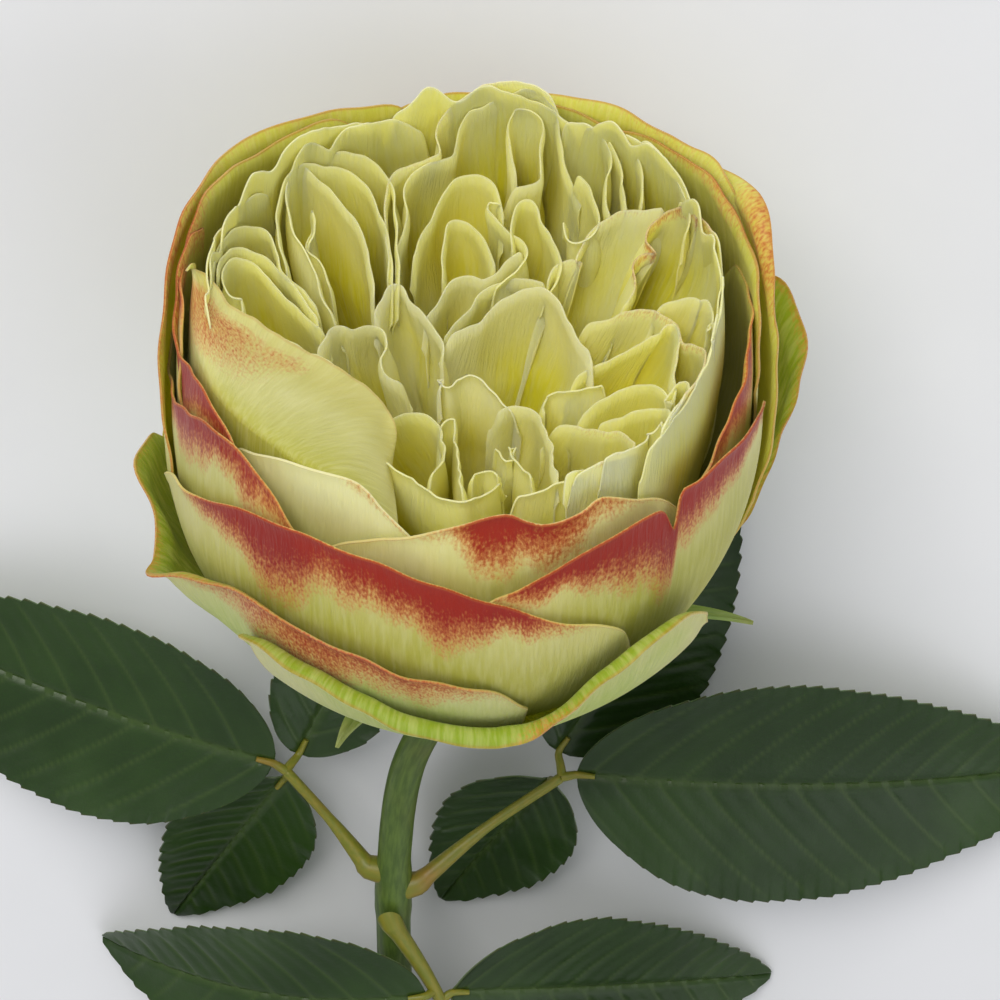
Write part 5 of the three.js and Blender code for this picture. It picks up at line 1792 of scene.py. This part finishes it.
# ---- The leaves ----
def catmull_rom(points: Array, shares: Array) -> Array:
    """A centripetal curve through points, sampled at shares of its length.

    Args:
        points: The points that the curve goes through, one a row.
        shares: Where to sample it, from 0 at the first point to 1 at the last.

    Returns:
        One sampled point a row.
    """
    ends = np.vstack([2 * points[0] - points[1], points, 2 * points[-1] - points[-2]])
    steps = np.linspace(0, 1, 60, endpoint=False)
    path = []
    for i in range(1, len(ends) - 2):
        quad = ends[i - 1:i + 3]
        gaps = np.maximum(np.linalg.norm(np.diff(quad, axis=0), axis=1) ** 0.5, 1e-4)
        leave = ((quad[1] - quad[0]) / gaps[0] - (quad[2] - quad[0]) / (gaps[0] + gaps[1])
                 + (quad[2] - quad[1]) / gaps[1]) * gaps[1]
        arrive = ((quad[2] - quad[1]) / gaps[1] - (quad[3] - quad[1]) / (gaps[1] + gaps[2])
                  + (quad[3] - quad[2]) / gaps[2]) * gaps[1]
        u = steps[:, None]
        path.append(quad[1] + leave * u + (-3 * quad[1] + 3 * quad[2] - 2 * leave - arrive) * u ** 2
                    + (2 * quad[1] - 2 * quad[2] + leave + arrive) * u ** 3)
    line = np.vstack([*path, points[-1:]])
    reach = np.concatenate([[0], np.cumsum(np.linalg.norm(np.diff(line, axis=0), axis=1))])
    at = np.clip(shares, 0, 1) * reach[-1]
    return np.stack([np.interp(at, reach, line[:, k]) for k in range(3)], axis=-1)


@dataclass(frozen=True)
class Blade:
    """A leaflet's place on its stalk and its size."""

    on: float
    away: tuple[float, float, float]
    tip: tuple[float, float, float]
    width: float
    lift: float
    roll: float = 0.0
    fold: float = 0.16
    pairs: int = 8


@dataclass
class Leaflet:
    """A serrated leaflet with a sunken midrib and lateral veins."""

    name: str
    node: str
    base: Array
    tip: Array
    blade: Blade
    TOOTH: float = 2.7

    def shape(self, s: Array, t: Array) -> tuple[Array, dict[str, Array]]:
        """Places and tags of the leaflet's points.

        Args:
            s: Places across the leaflet, from -1 to 1.
            t: Places along the leaflet, from 0 at its foot to 1 at its tip.

        Returns:
            The places in the row's frame, in millimetres, and the tags by name.
        """
        blade, base, tip = self.blade, self.base, self.tip
        middle = (base + tip) / 2 + np.array([0, 0, blade.lift])
        u = t[..., None]
        spine = (1 - u) ** 2 * base + 2 * u * (1 - u) * middle + u ** 2 * tip
        along = unit(2 * (1 - u) * (middle - base) + 2 * u * (tip - middle))
        side = unit(np.cross(along, np.array([0, 0, 1.0])))
        turn = math.radians(blade.roll)
        side = side * math.cos(turn) + np.cross(along, side) * math.sin(turn)
        normal = np.cross(side, along)
        length = float(np.linalg.norm(tip - base))
        outline = np.sin(np.pi * np.clip(t, 0, 1) ** 0.8).clip(0) ** 0.75 * (1 - 0.25 * t) + 0.012
        reach = blade.width / 2 * outline
        saw = np.mod(t * length / self.TOOTH + 0.35 * np.sign(s), 1.0)
        tooth = np.where(saw < 0.82, saw / 0.82, (1 - saw) / 0.18)
        size = 0.55 * np.clip(reach / 6, 0, 1) * ease(t, 0.03, 0.12)
        teeth = size * (tooth - 0.5) * np.abs(s) ** 6
        forward = size * 0.8 * tooth * np.abs(s) ** 8
        offset = s * reach + np.sign(s) * teeth
        spacing = length / (blade.pairs + 1.5)
        slant = np.abs(offset) * (0.75 + 0.012 * np.abs(offset))
        line = (t * length - slant) / spacing + 0.25 * np.sign(s)
        off_vein = np.abs(line - np.rint(line)) * spacing
        vein = np.exp(-(off_vein / 0.42) ** 2) * ease(reach - np.abs(offset), -0.2, 3.0)
        rib = np.exp(-(offset / (0.35 + 0.55 * (1 - t))) ** 2)
        quilt = 0.11 * np.sin(math.pi * np.clip(off_vein / spacing * 2, 0, 1)) ** 1.0
        relief = (quilt * ease(reach - np.abs(offset), 0.0, 5.0) - 0.12 * vein - 0.6 * rib
                  + 0.5 * ripple(len(self.name) + int(blade.width), t, 11.0) * s ** 2)
        curl = blade.fold * s ** 2 * reach
        places = (spine + side * offset[..., None] + along * forward[..., None]
                  + normal * (curl + relief)[..., None])
        places[..., 2] = np.maximum(places[..., 2], TABLE_GAP)
        tags = {
            "vein": np.clip(vein * 0.7 + rib * ease(1 - t, 0.0, 0.2), 0, 1),
            "edge": reach - np.abs(offset) + 0.3,
        }
        return places, tags

    def build(self, paints: Paints) -> bpy.types.Object:
        """Makes the leaflet and gives it its finish.

        Args:
            paints: The finishes.

        Returns:
            The finished piece.
        """
        up = np.array([0, 0, 1.0])
        rows = int(max(110, np.linalg.norm(self.tip - self.base) * 2.6))
        sheet = Sheet(self.name, 44, rows, LEAF_THICKNESS, crowding=1.0)
        piece = sheet.build(self.shape, lambda points: np.broadcast_to(up, points.shape))
        finish_piece(piece, paints.leaf, (self.node,))
        return piece


@dataclass
class Leaf:
    """A compound leaf: a stalk and its leaflets."""

    name: str
    share: float
    toward: tuple[float, float, float]
    stalk: tuple[tuple[float, float, float], ...]
    blades: tuple[Blade, ...]

    def build(self, stem: Stem, paints: Paints) -> None:
        """Makes the stalk, then each leaflet on its own short stalk.

        Args:
            stem: The stem that the leaf grows from.
            paints: The finishes.
        """
        way = unit(np.array(self.toward))
        axis_point = stem.point(self.share)
        start = axis_point + way * (float(stem.radius(self.share)) + RACHIS_RADIUS * 1.2 + TOUCH)
        points = np.vstack([start, start + np.array(self.stalk)])
        shares = np.linspace(0, 1, 60)
        path = catmull_rom(points, shares)
        path = np.vstack([axis_point + way * float(stem.radius(self.share)) * 0.7, path])
        radii = RACHIS_RADIUS * (1.5 - 0.7 * np.minimum(1, 2 * shares))
        radii = np.concatenate([[RACHIS_RADIUS * 2.1], radii])
        radii[1:6] *= np.linspace(1.25, 1.02, 5)
        radii[-1] *= 0.6
        piece = tube(f"{self.name}_rachis", path, radii, 20)
        finish_piece(piece, paints.stalk, (f"{self.name}_stalk",))
        for i, blade in enumerate(self.blades):
            on = catmull_rom(points, np.array([blade.on]))[0]
            away = np.array(blade.away)
            base = on + away + unit(away) * RACHIS_RADIUS
            tip = np.array([start[0] + blade.tip[0], start[1] + blade.tip[1],
                            TABLE_GAP + blade.tip[2]])
            leaflet = Leaflet(f"{self.name}_blade_{i + 1}", f"{self.name}_leaflet_{i + 1}",
                              base, tip, blade)
            leaflet.build(paints)
            middle = (base + tip) / 2 + np.array([0, 0, blade.lift])
            inward = base + unit(middle - base) * 3.0
            path = catmull_rom(np.array([on, (on + base) / 2, base, inward]),
                               np.linspace(0, 1, 16))
            stub = tube(f"{self.name}_footstalk_{i + 1}", path, np.linspace(0.85, 0.45, 16), 14)
            finish_piece(stub, paints.stalk, (f"{self.name}_stalk",))


LEAVES = (
    Leaf("left_leaf", 0.225, (3.6, -1, 0), ((5.5, -6.8, -2.4), (13.5, -15.8, -4.9)), (
        Blade(1, (1.1, -0.9, 0.2), (88, -42, 0.4), 40, 9, pairs=9),
        Blade(1, (-1.4, -1.1, -1.7), (-6, -52, 5), 24, 1, roll=8, pairs=6),
        Blade(0.96, (0.7, 2.1, -2.5), (35, 22, 1), 27, -1, roll=-6, pairs=7),
    )),
    Leaf("right_leaf", 0.24, (-4.2, -1.4, 0.3), ((-11, -8.6, -3.2), (-24, -17.6, -5.2)), (
        Blade(1, (-1.4, -0.3, 0.1), (-114, -12.6, 0.4), 46, 11, pairs=10),
        Blade(1, (0.4, -2.2, -2.2), (-52, -64.6, 2), 32, -1, roll=6),
        Blade(0.93, (0.1, 0.7, -1.9), (-3.5, 14, 3), 26, -2, pairs=6),
    )),
    Leaf("lower_leaf", 0.255, (0.1, 0, 1),
         ((-5.5, 10, 0.1), (-12.5, 26, -0.9), (-18.5, 40, -4.9)), (
        Blade(1, (-0.4, 1.4, 0), (-28, 107, 1), 36, 6, pairs=9),
        Blade(0.36, (0.9, -0.1, 1.1), (51.5, 18, 1), 34, 16, pairs=7),
        Blade(0.41, (-1, -0.5, -0.4), (-66.5, 26, 1), 36, 2),
        Blade(0.79, (-0.1, 0.4, 1), (39.5, 64, 1), 32, 15, pairs=7),
        Blade(0.84, (-1.7, -0.4, 0.8), (-74.5, 62, 4), 28, 13),
    )),
)


# ---- The table, the light and the camera ----
class Stage:
    """What the rose is shown on and lit by."""

    FLOOR_SIZE = 6.0
    CAMERA_AWAY = 470.0
    CAMERA_ASIDE = 5.0
    CAMERA_UP = -12.3
    CAMERA_TILT = 47.0
    FOCAL_LENGTH = 116.75

    def __init__(self, paints: Paints) -> None:
        """Keeps the finishes."""
        self.paints = paints

    def build(self) -> None:
        """Sets the table, the lights and the camera."""
        bpy.ops.object.select_all(action="DESELECT")
        bpy.ops.mesh.primitive_plane_add(size=self.FLOOR_SIZE)
        floor = bpy.context.object
        floor.name = "table_top"
        floor.data.materials.append(self.paints.floor)
        self.light("window", (0.35, -1.1, 1.15), 0.9, 16.5, (1.0, 0.99, 0.97))
        self.light("fill", (-0.9, 0.5, 1.3), 1.4, 5.0, (0.96, 0.98, 1.0))
        world = bpy.data.worlds.new("room")
        world.use_nodes = True
        world.node_tree.nodes["Background"].inputs["Color"].default_value = (0.95, 0.97, 1, 1)
        world.node_tree.nodes["Background"].inputs["Strength"].default_value = 0.55
        bpy.context.scene.world = world
        bpy.context.scene.view_settings.view_transform = "Standard"
        self.aim_camera()

    def light(self, name: str, place: tuple[float, float, float], size: float, power: float,
              colour: Colour) -> None:
        """Hangs a soft square light that faces the bloom.

        Args:
            name: The light's name.
            place: Where it hangs, from the bloom, in metres.
            size: The length of its side, in metres.
            power: Its power, in watts.
            colour: Its colour.
        """
        data = bpy.data.lights.new(name, "AREA")
        data.size = size
        data.energy = power
        data.color = colour
        lamp = bpy.data.objects.new(name, data)
        bpy.context.scene.collection.objects.link(lamp)
        target = Vector(PLACE.middle * MM)
        lamp.location = target + Vector(place)
        lamp.rotation_euler = Vector(place).to_track_quat("Z", "Y").to_euler()

    def aim_camera(self) -> None:
        """Puts the camera over the bloom, looking down past it along the stem."""
        tilt = math.radians(self.CAMERA_TILT)
        right = PLACE.across
        up = PLACE.back * math.sin(tilt) + PLACE.axis * math.cos(tilt)
        toward = -PLACE.back * math.cos(tilt) + PLACE.axis * math.sin(tilt)
        place = (PLACE.middle + right * self.CAMERA_ASIDE + up * self.CAMERA_UP
                 + toward * self.CAMERA_AWAY)
        data = bpy.data.cameras.new("camera")
        data.lens = self.FOCAL_LENGTH
        data.sensor_width = 36.0
        data.clip_start = 0.01
        camera = bpy.data.objects.new("camera", data)
        bpy.context.scene.collection.objects.link(camera)
        matrix = np.eye(4)
        matrix[:3, 0], matrix[:3, 1], matrix[:3, 2] = right, up, toward
        matrix[:3, 3] = place * MM
        camera.matrix_world = Matrix(matrix.tolist())
        bpy.context.scene.camera = camera


def main() -> None:
    """Builds the rose, then its stage, in order."""
    logging.basicConfig(level=logging.INFO, format="%(message)s")
    paints = Paints()
    bloom = Bloom(paints)
    bloom.build()
    LOG.info("bloom: %d pieces", len(bloom.pieces))
    stem = Stem(paints)
    stem.build()
    LOG.info("stem: %d prickles", len(stem.PRICKLES))
    for leaf in LEAVES:
        leaf.build(stem, paints)
        LOG.info("%s: %d leaflets", leaf.name, len(leaf.blades))
    Stage(paints).build()


if __name__ == "__main__":
    main()
